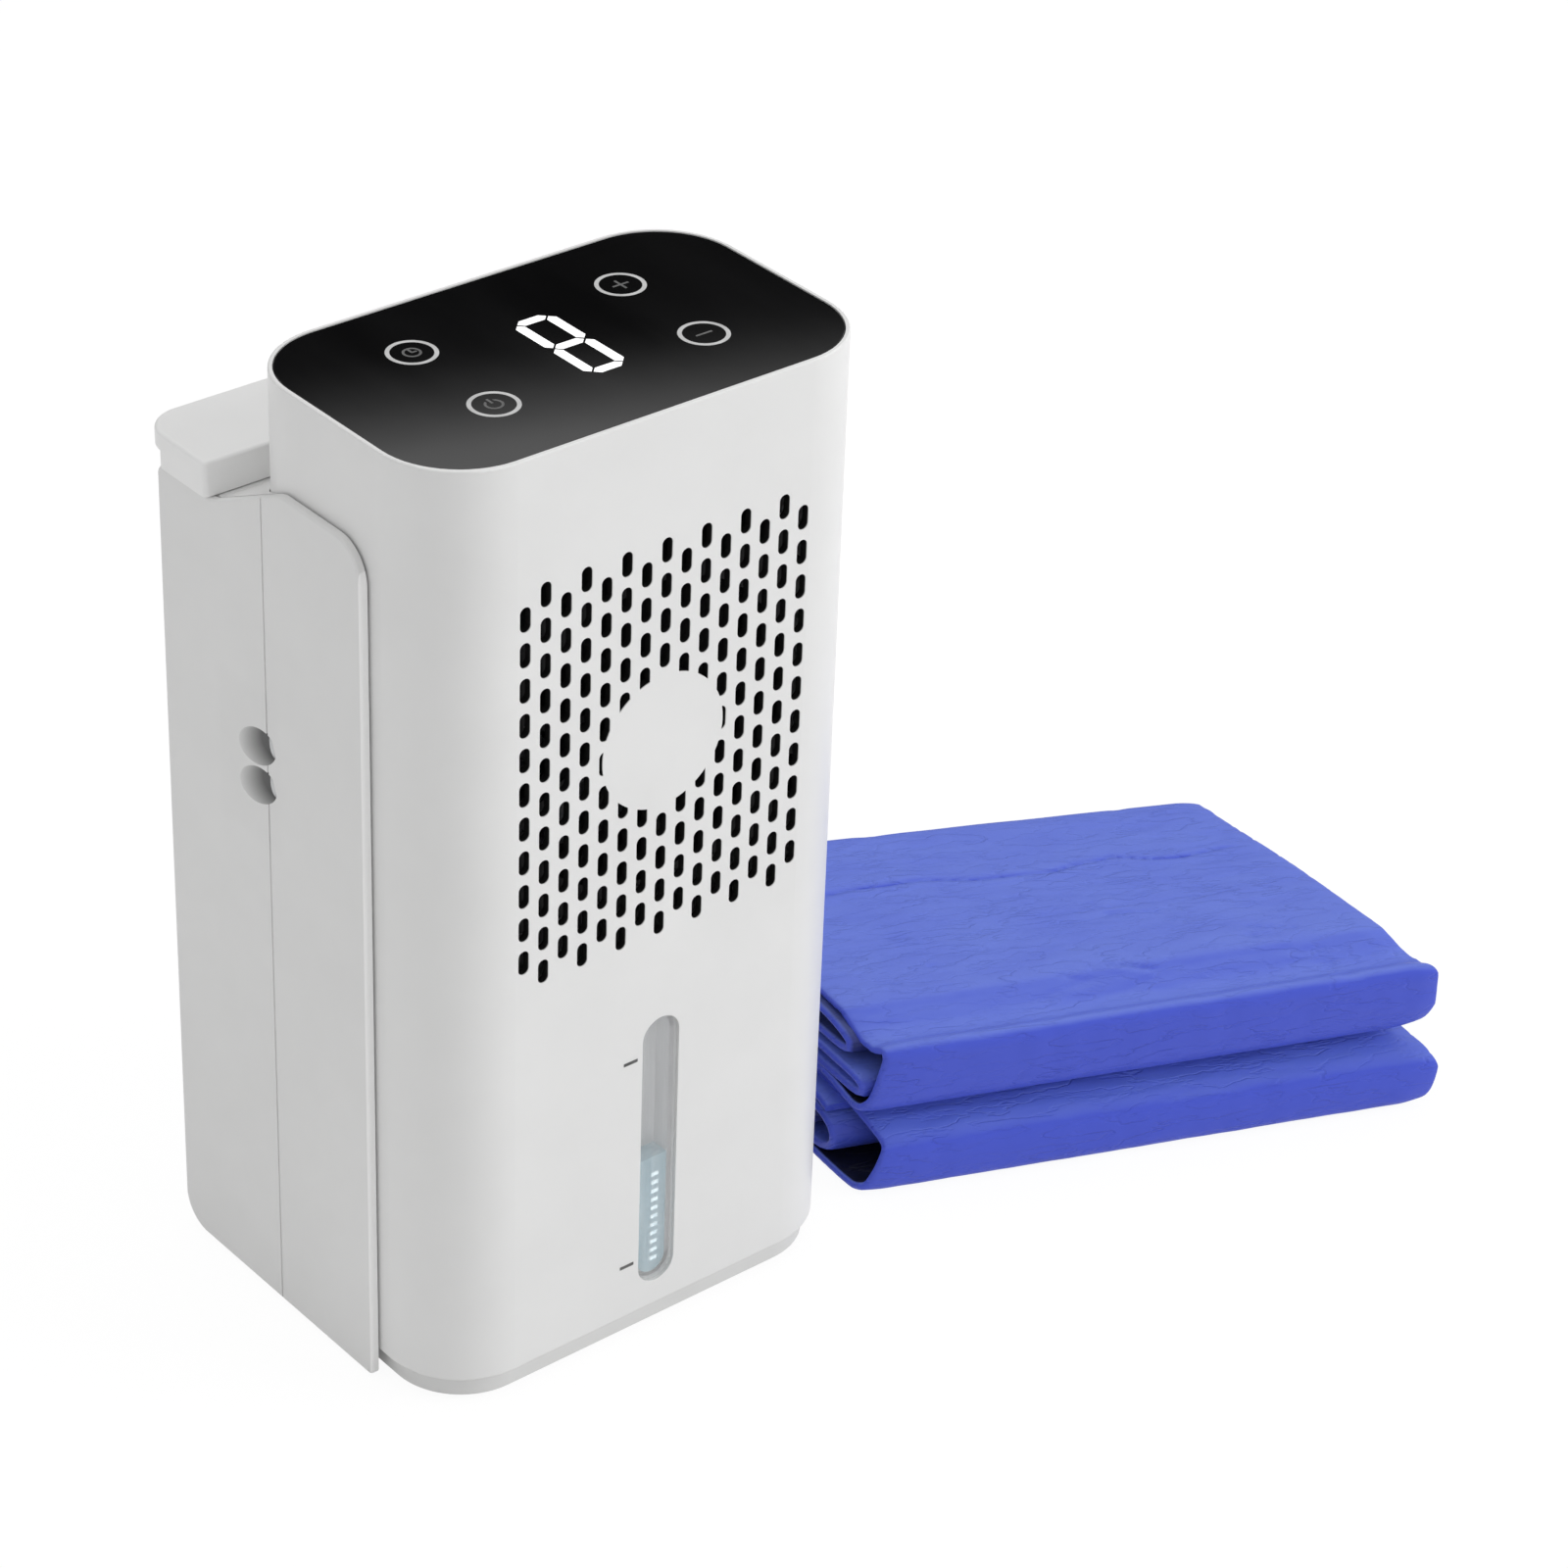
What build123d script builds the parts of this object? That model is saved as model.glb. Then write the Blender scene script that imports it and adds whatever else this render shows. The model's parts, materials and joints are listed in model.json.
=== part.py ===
"""Water cooling mattress pad: a fan-cooled circulator with its water pad folded beside it.

Units are millimetres. The model is drawn with the unit's front face on y = 0, the unit centred on
x = 0 and the floor at z = 0. At the end everything moves so that the origin is the bottom centre.
"""
from build123d import *
import os
from math import atan2, cos, degrees, radians, sin

# Fits and gaps
fit_gap = 0.3          # between seated pieces
run_gap = 0.05         # radial, between a shaft and its bore
print_depth = 0.12     # how deep the printed marks sit in the glass
seat_gap = 0.1         # round what is soldered, glued or pushed in

# Screws: head radius, head height, shank radius and length
fan_screw = (2.8, 1.8, 1.2, 5.5)
panel_screw = (2.6, 1.6, 1.2, 6.0)
board_screw = (2.6, 1.6, 1.2, 7.0)
base_screw = (3.0, 0.9, 1.4, 10.0)
housing_screw = (2.9, 1.2, 1.15, 4.5)
pass_room = 0.4        # radial, where a screw passes through
head_room = 0.2        # radial, round a sunk head

# Tower, the tall front half of the unit
unit_height = 290.0
tower_width = 143.0
tower_depth = 88.8
tower_corner = 24.3
shell_wall = 2.4
shell_bottom = 8.5
rim_width = 1.2        # white rim that shows round the glass

# Rear half of the unit
rear_face = 123.0
rear_corner = 10.0
housing_front = 64.8
housing_wall = 2.2
deck_height = unit_height - 43.6
ramp_front = 64.0      # the deck slopes down from here ...
ramp_rear = 95.0       # ... to here
ramp_top = deck_height + 15.0
housing_screw_y = 60.5
housing_screw_heights = [30.0, 120.0, 215.0]
housing_head_depth = 1.3
tab_front = 56.0
tab_back = 4.0         # behind the housing's front edge
tab_thickness = 2.0
tab_half_height = 8.0
intake_rows = 12
intake_low = 142.0
intake_pitch = 8.0
intake_slot = 3.2
intake_reach = (30.0, 58.0)

# Side covers
cover_proud = 2.9
cover_shadow_gap = 0.7
cover_gap_inset = 2.0
cover_front = 28.8
cover_rear = 120.5
cover_bottom = 1.0
cover_arc = 11.0
cover_seam_y = 72.2
cover_peg_radius = 3.0
cover_peg_places = [(45.0, 40.0), (45.0, 222.0), (104.0, 40.0), (104.0, 215.0)]

# Fan grille: slots in staggered columns, clipped by a plain disc
grille_height = 193.7  # of the fan's shaft
grille_columns = 15
grille_column_pitch = 6.4
grille_row_pitch = 10.28
grille_rows_long = 12
slot_width = 3.4
slot_length = 7.2
disc_radius = 19.8

# Level window
window_x = 1.75
window_width = 12.5
window_low = 17.0
window_high = 106.0
window_recess = 0.6
lens_thickness = 1.6
lens_gap = 0.15
chamber_flange = 2.2
chamber_depth = 7.0
chamber_wall = 1.2
water_level = 58.0
tick_heights = [95.2, 26.4]
tick_size = (4.6, 0.15, 0.9)
tick_gap = 1.8

# Top panel
glass_thickness = 2.0
glass_recess = 0.2
carrier_thickness = 3.8
carrier_width = 7.0
key_x = 33.4
key_rows = [28.5, 63.3]
ring_radius = 6.9
ring_line = 1.2
digit_x = 2.0
digit_y = 44.0
digit_width = 13.0
digit_length = 35.0
segment_width = 3.0
board_thickness = 1.6
display_board_size = (120.0, 68.0)
display_board_drop = 10.2      # its top face under the glass
panel_post_radius = 3.2
corner_inset = 5.0     # of a board's screws from its edges
icon_line = 0.7
icon_radius = 2.6
spring_radius = 5.4
spring_wire = 0.6

# Fan
fan_size = 92.0
fan_depth = 25.0
fan_front = 5.0
fan_bore = 44.5
fan_blade_radius = 43.3
fan_hub_radius = 19.0
fan_blades = 9
fan_blade_pitch = 35.0
fan_shaft_radius = 1.5
fan_ear_x = fan_size / 2 + 5.5
fan_ear_z = 34.0
fan_ear_reach = 4.0
fan_ear_half_height = 5.0
fan_ear_thickness = 3.0
fan_boss_radius = 4.0
fan_strut_width = 3.0
fan_strut_depth = 3.0

# Radiator
radiator_front = 35.0
radiator_depth = 15.0
core_half_width = 46.0
core_height = 100.0
header_height = 10.0
header_half_width = 48.0
header_margin = 6.0    # how far each header runs past its hose nipple
header_wall = 1.5
bracket_half_width = 30.0
tube_count = 10
tube_thickness = 2.2
tube_wall = 0.5
fin_count = 20
fin_thickness = 0.5

# Tank and filler
tank_left = -42.0
tank_right = 55.0
tank_front = 60.0
tank_rear = 117.0
tank_bottom = 12.0
tank_top = 122.0
tank_wall = 2.0
gasket_thickness = 1.0
tank_cover_thickness = 3.0
chute_half_width = 20.0
chute_front = 99.0
chute_rear = 117.0
chute_wall = 1.6
chute_flange = 4.0
grommet_radius = 5.0
return_x = -36.0
return_y = 68.0

# Filler lid
lid_overhang = 1.2
lid_front = 96.2
lid_rear = 126.8
lid_bottom = deck_height + 0.4
lid_top = deck_height + 10.6
lid_wall = 2.0
lid_corner = 11.0
hinge_y = 121.5
hinge_z = deck_height + 4.6
hinge_pin_radius = 1.5
hinge_ear_radius = 3.0
lug_radius = 3.4
lug_x = 46.1
lug_width = 5.8
ear_width = 3.9
rail_front = 117.0
rail_corner = 9.0      # rounder than the lid's, which swings down past it
seal_height = 1.8

# Hose ports, in troughs that run out rearwards through the left side cover
port_tilt = 37.0       # outwards from the cover's face
port_drop = 20.0       # downwards to the rear
port_y = 72.0
port_depth = 3.9       # of the port's axis under the cover's face, at its mouth
port_heights = [183.0, 171.0]
port_radius = 4.2
trough_radius = port_radius + 1.2
trough_wall = 1.2
trough_length = 34.0
trough_room = (15.5, 12.0, 29.0, 2.7, 10.0)  # in the housing: depth, ahead, behind, above, and below by more
rim_height = 1.3
rim_reach = 8.0        # from the socket's mouth to where the rim has thinned out
port_bore = 3.1
port_bore_depth = 8.0
port_mouth = 1.2
port_flange = port_radius + 0.8
port_flange_thickness = 1.2
port_gasket_thickness = 0.8
port_body = 14.0       # from the mouth's seat to where the inner nipple starts
port_reach = 24.0      # from the trough's end wall to the tip of the inner nipple

# Hoses and nipples
nipple_radius = 2.4
nipple_wall = 0.8
nipple_grip = 8.0
short_nipple = 10.0
long_nipple = 14.0
hose_bore = nipple_radius + seat_gap
hose_radius = hose_bore + 1.5
hose_run = 33.0        # from a port's mouth to the column where its hose turns upright
return_bend = 150.0    # height at which the return hose turns to the tank

# Pump, with its shaft along Y
pump_x = 40.0
pump_z = 34.0
pump_rear = 48.0
volute_radius = 16.0
volute_depth = 12.0
pump_wall = 2.5
pump_cover_thickness = 3.0
motor_radius = 13.0
motor_length = 23.0
pump_shaft_radius = 1.5
impeller_radius = 12.5
pump_outlet_x = 50.0
pump_boss_radius = 4.5
pump_inlet_radius = 4.0
pump_inlet_bore = 2.6
pump_foot = 11.0       # half its width
pump_end_gap = 1.0
vane_count = 6
vane_thickness = 1.4
rotor_disc = 1.6

# Base
plinth_inset = shell_wall + fit_gap
plinth_low = 1.8
plinth_high = 14.0
plinth_wall = 2.5
foot_radius = 8.0
foot_height = 3.0
foot_places = [(50.0, 22.0), (42.0, 107.0)]
screw_boss_x = 61.0
screw_boss_rows = [45.0, 100.0]
screw_boss_radius = 4.0
screw_boss_top = 26.0
rib_places = (-30.0, 5.0, 42.0)
rib_thickness = 3.0

# Boards and power inlet
board_left = -56.0
board_right = -16.0
board_low = 24.0
board_high = 104.0
board_post_end = 14.0
board_post_radius = 3.0
board_blocks = [(-50, -36, 60, 72, 8), (-32, -22, 34, 46, 6)]   # left, right, low, high, depth
board_cans = [(-28, 82, 5, 12), (-44, 44, 4, 11)]               # middle, height, radius, depth
inlet_body = 6.0       # half its width
inlet_x = -53.0
inlet_z = 26.0
inlet_sleeve = 5.2
inlet_bore = 2.75
inlet_depth = 9.5
inlet_pin = 0.95

# Water pad, folded into two packs; it lies askew, and its four sides are a little out of square
pad_clearance = 15.5   # beside the tower
pad_corner_y = 12.0
pad_front_angle = -22.0
pad_front_length = 180.0
pad_left_angle = 84.0
pad_left_depth = 115.0
pad_rear_angle = -25.5
pad_rear_length = 174.0
pad_height = 52.0
pad_gap = 0.6
pad_crown = 1.6
pad_end_round = 7.0
pad_hollow = (11.0, 5.0, 45.0)

half_width = tower_width / 2
inner_half = half_width - shell_wall
cover_face = half_width + cover_proud
glass_top = unit_height - glass_recess
glass_bottom = glass_top - glass_thickness
display_board_top = glass_bottom - display_board_drop
carrier_bottom = glass_bottom - carrier_thickness
core_bottom = grille_height - core_height / 2
core_top = grille_height + core_height / 2
radiator_middle = radiator_front + radiator_depth / 2
fan_rear = fan_front + fan_depth
window_middle = (window_low + window_high) / 2
window_length = window_high - window_low
chamber_front = window_recess + lens_thickness
nipple_bore = nipple_radius - nipple_wall
cover_base = tank_top + gasket_thickness
lid_half = cover_face + lid_overhang

parts = {}


def block(x0, x1, y0, y1, z0, z1):
    """A box between two corners."""
    return Pos((x0 + x1) / 2, (y0 + y1) / 2, (z0 + z1) / 2) * Box(x1 - x0, y1 - y0, z1 - z0)


def rod_x(y, z, radius, x0, x1):
    """A round bar along X."""
    return Pos((x0 + x1) / 2, y, z) * Rot(0, 90, 0) * Cylinder(radius, x1 - x0)


def rod_y(x, z, radius, y0, y1):
    """A round bar along Y."""
    return Pos(x, (y0 + y1) / 2, z) * Rot(90, 0, 0) * Cylinder(radius, y1 - y0)


def rod_z(x, y, radius, z0, z1):
    """A round bar along Z."""
    return Pos(x, y, (z0 + z1) / 2) * Cylinder(radius, z1 - z0)


def ring_z(x, y, outer, inner, z0, z1):
    """A round washer or tube along Z."""
    return rod_z(x, y, outer, z0, z1) - rod_z(x, y, inner, z0 - 1, z1 + 1)


def outline(half, y0, y1, front_radius, rear_radius, inset=0.0):
    """A plan with rounded corners, drawn in by inset on every side."""
    x, front, rear = half - inset, y0 + inset, y1 - inset
    face = Pos(0, (front + rear) / 2) * Rectangle(2 * x, rear - front)
    for edge_y, radius in ((front, front_radius - inset), (rear, rear_radius - inset)):
        corners = [v for v in face.vertices() if abs(v.Y - edge_y) < 0.001 and abs(abs(v.X) - x) < 0.001]
        if radius > 0.2:
            face = fillet(corners, radius)
    return face


def tower_plan(inset=0.0):
    """The tower's plan."""
    return outline(half_width, 0, tower_depth, tower_corner, tower_corner, inset)


def prism(face, z0, z1):
    """A flat plan raised between two heights."""
    return Pos(0, 0, z0) * extrude(face, amount=z1 - z0)


def slot_plan(length, width):
    """An upright slot with round ends."""
    return SlotOverall(length, width, rotation=90)


def through_y(sketch, y0, y1):
    """A sketch drawn in X and Z, made a solid from y0 to y1."""
    return Pos(0, y0, 0) * extrude(Plane.XZ * sketch, amount=y0 - y1)


def side_sketch(points, radii):
    """A closed outline from corner points, with a radius at each corner that has one."""
    face = make_face(Polyline(*points, close=True))
    for (px, py), radius in zip(points, radii):
        if radius:
            corner = min(face.vertices(), key=lambda v: (v.X - px) ** 2 + (v.Y - py) ** 2)
            face = fillet([corner], radius)
    return face


def port_frame(height):
    """The port's own frame: Z leaves through the mouth, X is up and Y points into the unit."""
    lean, drop = radians(port_tilt), radians(port_drop)
    mouth = (port_depth - cover_face, port_y, height)
    way = (-sin(lean), cos(lean) * cos(drop), -cos(lean) * sin(drop))
    return Plane(origin=mouth, x_dir=(0, sin(drop), cos(drop)), z_dir=way)


def port_point(height, along):
    """A point on the port's axis."""
    place = port_frame(height)
    return place.origin + place.z_dir * along


def along_port(height, shape):
    """Puts a shape that was drawn in the port's frame into the unit."""
    return port_frame(height).location * shape


def port_clearance(height):
    """The room that a port and its flange take behind the trough's end wall."""
    return along_port(height, Pos(0, 0, -(port_reach + trough_wall) / 2)
                      * Cylinder(port_flange + fit_gap, port_reach - trough_wall))


def nipple(x, y, z0, z1):
    """An upright hose nipple."""
    return rod_z(x, y, nipple_radius, z0, z1)


def hose(points, radii):
    """A hose along straight runs that are joined by tangent arcs."""
    path = FilletPolyline(*points, radius=radii) if radii else Line(*points)
    plane = Plane(origin=path.position_at(0), z_dir=path.tangent_at(0))
    return sweep(plane * (Circle(hose_radius) - Circle(hose_bore)), path=path)


def screw(head_radius, head_height, shank_radius, length):
    """A pan-head screw that points down, with its head's seat at z = 0 and a cross recess."""
    head = Pos(0, 0, head_height / 2) * Cylinder(head_radius, head_height)
    head = fillet(head.edges().sort_by(Axis.Z)[-1:], head_height * 0.4)
    long, narrow = head_radius * 1.1, head_radius * 0.25
    cross = Box(long, narrow, head_height) + Box(narrow, long, head_height)
    return head - Pos(0, 0, head_height) * cross + Pos(0, 0, -length / 2) * Cylinder(shank_radius, length)


def pilot(size):
    """Radius of the hole that a screw of the given size cuts its thread in."""
    return size[2] + run_gap


def passage(size):
    """Radius of the hole that a screw of the given size passes through."""
    return size[2] + pass_room


def sided(side, near, far):
    """Two distances from the middle, as ordered X values on one side."""
    return sorted((side * near, side * far))


# Tower shell
def grille_slots():
    """All slots of the grille as one sketch, cut away round the plain disc."""
    slots = Sketch()
    for column in range(grille_columns):
        staggered = column % 2 == 0
        rows = grille_rows_long - 1 if staggered else grille_rows_long
        x = (column - (grille_columns - 1) / 2) * grille_column_pitch
        for row in range(rows):
            z = grille_height + (row - (rows - 1) / 2) * grille_row_pitch
            slots += Pos(x, z) * slot_plan(slot_length, slot_width)
    return slots - Pos(0, grille_height) * Circle(disc_radius)


def base_screw_places(row):
    """The two screws of one row under the base."""
    return [(side * screw_boss_x, screw_boss_rows[row]) for side in (-1, 1)]


def screw_boss(x, y, wall_x):
    """A boss for a base screw, tied to the side wall by a web."""
    side = 1 if x > 0 else -1
    web = block(*sided(side, abs(x), wall_x), y - 1.2, y + 1.2, plinth_high + fit_gap, screw_boss_top)
    boss = rod_z(x, y, screw_boss_radius, plinth_low + plinth_wall, screw_boss_top)
    return boss + web - rod_z(x, y, pilot(base_screw), 0, screw_boss_top - 8)


def housing_screw_places():
    """Heights and sides of the screws that hold the rear housing to the shell."""
    return [(side, z) for side in (-1, 1) for z in housing_screw_heights]


def fan_ear_places():
    """The fan's four fixing points."""
    return [(side * fan_ear_x, grille_height + row * fan_ear_z) for side in (-1, 1) for row in (-1, 1)]


def front_shell():
    """Tower shell: grille, window, bosses and the shoulder that the glass sits in."""
    shell = prism(tower_plan(), shell_bottom, unit_height)
    shell = fillet(shell.faces().sort_by(Axis.Z)[-1].edges(), 0.5)
    shell = fillet(shell.faces().sort_by(Axis.Z)[0].edges(), 1.0)
    shell -= prism(tower_plan(shell_wall), 0, unit_height + 1)
    shell -= prism(tower_plan(rim_width), carrier_bottom, unit_height + 1)
    shell -= block(-half_width - 1, half_width + 1, housing_front - fit_gap, tower_depth + 1,
                   0, deck_height - housing_wall - 1.2)
    for x, z in fan_ear_places():
        shell += rod_y(x, z, fan_boss_radius, shell_wall - 0.5, fan_front + fan_ear_thickness)
        tip = fan_front + 2 * fan_ear_thickness - fan_screw[3]
        shell -= rod_y(x, z, pilot(fan_screw), tip - fit_gap, fan_front + fan_ear_thickness + 1)
    for x, z in board_corners():
        shell += rod_y(x, z, board_post_radius, shell_wall - 0.5, board_post_end)
        shell -= rod_y(x, z, pilot(board_screw), shell_wall + 2.0, board_post_end + 1)
    for x, y in base_screw_places(0):
        shell += screw_boss(x, y, inner_half + 0.5)
    shell -= through_y(grille_slots(), -1, shell_wall + 0.3)
    shell -= window_slot(0, -1, shell_wall + 1)
    for side, z in housing_screw_places():
        ends = sided(side, inner_half - 1, half_width + 1)
        shell -= rod_x(housing_screw_y, z, passage(housing_screw), *ends)
        sink = sided(side, half_width - housing_head_depth, half_width + 1)
        shell -= rod_x(housing_screw_y, z, housing_screw[0] + head_room, *sink)
    for y, z in cover_peg_places[:2]:
        shell -= rod_x(y, z, cover_peg_radius + fit_gap, -half_width - 1, half_width + 1)
    for height in port_heights:
        shell -= port_clearance(height)
    return shell


def board_corners():
    """The control board's four fixing points."""
    columns = (board_left + corner_inset, board_right - corner_inset)
    rows = (board_low + corner_inset, board_high - corner_inset)
    return [(x, z) for x in columns for z in rows]


def window_slot(grow, y0, y1):
    """The window's own shape, grown or shrunk all round."""
    plan = Pos(window_x, window_middle) * slot_plan(window_length + 2 * grow, window_width + 2 * grow)
    return through_y(plan, y0, y1)


parts["front_shell"] = front_shell()

# Marks, lens, chamber and water of the level window
tick_right = window_x - window_width / 2 - tick_gap
tick = block(tick_right - tick_size[0], tick_right, -tick_size[1], 0, -tick_size[2] / 2, tick_size[2] / 2)
parts["level_ticks"] = Compound(children=[Pos(0, 0, z) * tick for z in tick_heights])
lens = window_slot(-lens_gap, window_recess, chamber_front)
parts["window_lens"] = fillet(lens.faces().sort_by(Axis.Y)[0].edges(), 0.4)
chamber_back = chamber_front + chamber_depth
chamber = window_slot(-fit_gap, chamber_front, chamber_back)
chamber += window_slot(chamber_flange, shell_wall, shell_wall + chamber_wall)
chamber -= window_slot(-fit_gap - chamber_wall, chamber_front - 1, chamber_back - chamber_wall)
sight_z = window_low + 7.0
chamber += rod_y(window_x, sight_z, nipple_radius, chamber_back - 0.5, chamber_back + 9)
chamber -= rod_y(window_x, sight_z, nipple_bore, chamber_back - 2, chamber_back + 10)
parts["sight_chamber"] = chamber
wet = window_slot(-fit_gap - chamber_wall - seat_gap, chamber_front + seat_gap,
                  chamber_back - chamber_wall - seat_gap)
parts["water_column"] = wet & block(-half_width, half_width, 0, tower_depth, 0, water_level)
tube_start = chamber_back + 1
tube_end = tank_front - 1
parts["sight_tube"] = (rod_y(window_x, sight_z, hose_radius, tube_start, tube_end)
                       - rod_y(window_x, sight_z, hose_bore, tube_start - 1, tube_end + 1))


# Top panel: glass with inlaid marks, and what lies under it
def segment(length, width):
    """One bar of the digit: a long hexagon."""
    end, side = length / 2, width / 2
    return make_face(Polyline((-end, 0), (side - end, side), (end - side, side), (end, 0), (end - side, -side),
                              (side - end, -side), close=True))


def digit_sketch():
    """A seven-segment eight, upright for a reader in front of the unit."""
    across = digit_width - segment_width
    along = (digit_length - segment_width) / 2
    bars = Sketch()
    for row in (-1, 0, 1):
        bars += Pos(digit_x, digit_y + row * along) * segment(across - 0.8, segment_width)
    for side in (-1, 1):
        for row in (-0.5, 0.5):
            place = Pos(digit_x + side * across / 2, digit_y + row * along)
            bars += place * Rot(0, 0, 90) * segment(along - 0.8, segment_width)
    return bars


def key_places():
    """The four touch keys, left front first."""
    return [(side * key_x, y) for y in key_rows for side in (-1, 1)]


def ring_sketch():
    """The four thin rings."""
    rings = Sketch()
    for x, y in key_places():
        rings += Pos(x, y) * (Circle(ring_radius) - Circle(ring_radius - ring_line))
    return rings


def icon_sketch():
    """Plain symbols: power, minus, plus and a clock."""
    bar, reach = icon_line, icon_radius
    left_front, right_front, left_rear, right_rear = key_places()
    hoop = Circle(reach) - Circle(reach - bar)
    power = hoop - Pos(0, reach) * Rectangle(2.2, 2.4) + Pos(0, 1.9) * Rectangle(bar, reach)
    clock = hoop + Pos(0, 0.85) * Rectangle(bar, 1.9) + Pos(0.7, 0) * Rectangle(1.6, bar)
    minus = Rectangle(2 * reach, bar)
    plus = minus + Rectangle(bar, 2 * reach)
    return (Pos(*left_front) * power + Pos(*right_front) * minus + Pos(*right_rear) * plus
            + Pos(*left_rear) * clock)


def inlay(sketch):
    """A printed mark, flush with the top of the glass."""
    return prism(sketch, glass_top - print_depth, glass_top)


glass = prism(tower_plan(rim_width + 0.15), glass_bottom, glass_top)
glass = fillet(glass.faces().sort_by(Axis.Z)[-1].edges(), 0.3)
marks = {"key_rings": ring_sketch(), "key_icons": icon_sketch(), "display_digit": digit_sketch()}
for name, sketch in marks.items():
    parts[name] = inlay(sketch)
    glass -= prism(sketch, glass_top - print_depth, glass_top + 1)
parts["glass_panel"] = glass

board_x, board_y = display_board_size[0] / 2, display_board_size[1] / 2
board_middle_y = tower_depth / 2
post_x, post_y = board_x - corner_inset, board_y - corner_inset
post_places = [(side * post_x, board_middle_y + row * post_y) for side in (-1, 1) for row in (-1, 1)]
carrier = prism(tower_plan(rim_width + fit_gap), carrier_bottom, glass_bottom)
carrier -= prism(tower_plan(rim_width + carrier_width), carrier_bottom - 1, glass_bottom + 1)
for x, y in post_places:
    arm = sided(1 if x > 0 else -1, abs(x), half_width - 4)
    carrier += rod_z(x, y, panel_post_radius, display_board_top, glass_bottom)
    carrier += block(*arm, y - 1.5, y + 1.5, carrier_bottom, glass_bottom)
for x, y in post_places:
    carrier -= rod_z(x, y, pilot(panel_screw), display_board_top - 1, glass_bottom - 1.5)
parts["panel_carrier"] = carrier
board_low_z = display_board_top - board_thickness
board_plan = Pos(0, board_middle_y) * fillet(Rectangle(*display_board_size).vertices(), 3.0)
display = prism(board_plan, board_low_z, display_board_top)
for x, y in post_places:
    display -= rod_z(x, y, passage(panel_screw), board_low_z - 1, display_board_top + 1)
parts["display_board"] = display
upside_down = Rot(180, 0, 0) * screw(*panel_screw)
parts["panel_screws"] = Compound(children=[Pos(x, y, board_low_z) * upside_down for x, y in post_places])
module_x, module_y = digit_width / 2 + 2, digit_length / 2 + 2
module = block(digit_x - module_x, digit_x + module_x, digit_y - module_y, digit_y + module_y,
               display_board_top, glass_bottom)
parts["digit_module"] = module - prism(digit_sketch(), glass_bottom - 2.5, glass_bottom + 1)
parts["touch_springs"] = Compound(children=[
    ring_z(x, y, spring_radius, spring_radius - spring_wire, display_board_top, glass_bottom)
    for x, y in key_places()])


# Rear housing
def housing_solid(inset, drop):
    """The rear housing's outer block, or the smaller block that hollows it."""
    plan = outline(half_width, housing_front - 40, rear_face, 0, rear_corner, inset)
    body = prism(plan, shell_bottom - (5 if inset else 0), ramp_top - drop)
    slope = degrees(atan2(ramp_top - deck_height, ramp_rear - ramp_front))
    far = 2 * unit_height
    over = Pos(0, ramp_rear, deck_height - drop) * Rot(-slope, 0, 0) * Pos(0, 0, 30) * Box(far, far, 60)
    body -= over & block(-far, far, -far, ramp_rear, 0, far)
    body -= block(-far, far, ramp_rear, far, deck_height - drop, far)
    return body & block(-far, far, housing_front - (20 if inset else 0), far, -10, far)


def hinge_gaps():
    """The places of the lid's two lugs: the middle of each, by side."""
    return [(side, side * (lug_x + lug_width / 2)) for side in (-1, 1)]


def rear_housing():
    """Rear housing: deck, filler opening, hinge rail, intake slots and the power inlet's hole."""
    body = housing_solid(0, 0)
    body = fillet(body.edges().filter_by(Axis.X).sort_by(Axis.Y)[-1:], 0.8)
    body -= housing_solid(housing_wall, housing_wall)
    body -= prism(tower_plan(-fit_gap), deck_height - housing_wall - 1.6, ramp_top + 1)
    inner, outer = inner_half - fit_gap - tab_thickness, half_width - housing_wall + 0.5
    for side, z in housing_screw_places():
        low, high, tab_rear = z - tab_half_height, z + tab_half_height, housing_front + tab_back
        body += block(*sided(side, inner, inner + tab_thickness), tab_front, tab_rear, low, high)
        body += block(*sided(side, inner, outer), housing_front, tab_rear, low, high)
        body -= rod_x(housing_screw_y, z, pilot(housing_screw), *sided(side, inner - 1, inner_half + 0.5))
    rail = prism(outline(lid_half, rail_front - rail_corner, rear_face, 0, rail_corner), deck_height, hinge_z)
    rail &= block(-lid_half, lid_half, rail_front, rear_face, deck_height, hinge_z)
    for side, middle in hinge_gaps():
        reach = lug_width / 2 + 0.2
        rail -= block(middle - reach, middle + reach, rail_front - 1, rear_face + 1, deck_height, hinge_z + 9)
        for end in (-1, 1):
            start = middle + end * (reach + ear_width / 2)
            rail += rod_x(hinge_y, hinge_z, hinge_ear_radius, start - ear_width / 2, start + ear_width / 2)
    body += rail
    for side, middle in hinge_gaps():
        reach = lug_width / 2 + ear_width + 0.3
        body -= rod_x(hinge_y, hinge_z, hinge_pin_radius + run_gap, middle - reach, middle + reach)
    body -= block(-chute_half_width, chute_half_width, chute_front, chute_rear, deck_height - 10,
                  deck_height + 0.001)
    depth, ahead, behind, beside, deeper = trough_room
    beside += trough_radius + trough_wall
    body -= block(-cover_face - 3, depth - half_width, port_y - ahead, port_y + behind,
                  min(port_heights) - beside - deeper, max(port_heights) + beside)
    for side in (-1, 1):
        for row in range(intake_rows):
            z = intake_low + row * intake_pitch
            body -= block(*sided(side, *intake_reach), rear_face - 5, rear_face + 5, z, z + intake_slot)
    body -= rod_y(inlet_x, inlet_z, inlet_sleeve + fit_gap, rear_face - 5, rear_face + 5)
    for y, z in cover_peg_places[2:]:
        body -= rod_x(y, z, cover_peg_radius + fit_gap, -half_width - 1, half_width + 1)
    for x, y in base_screw_places(1):
        body += screw_boss(x, y, half_width - housing_wall + 0.5)
    return body


parts["rear_housing"] = rear_housing()


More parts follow.
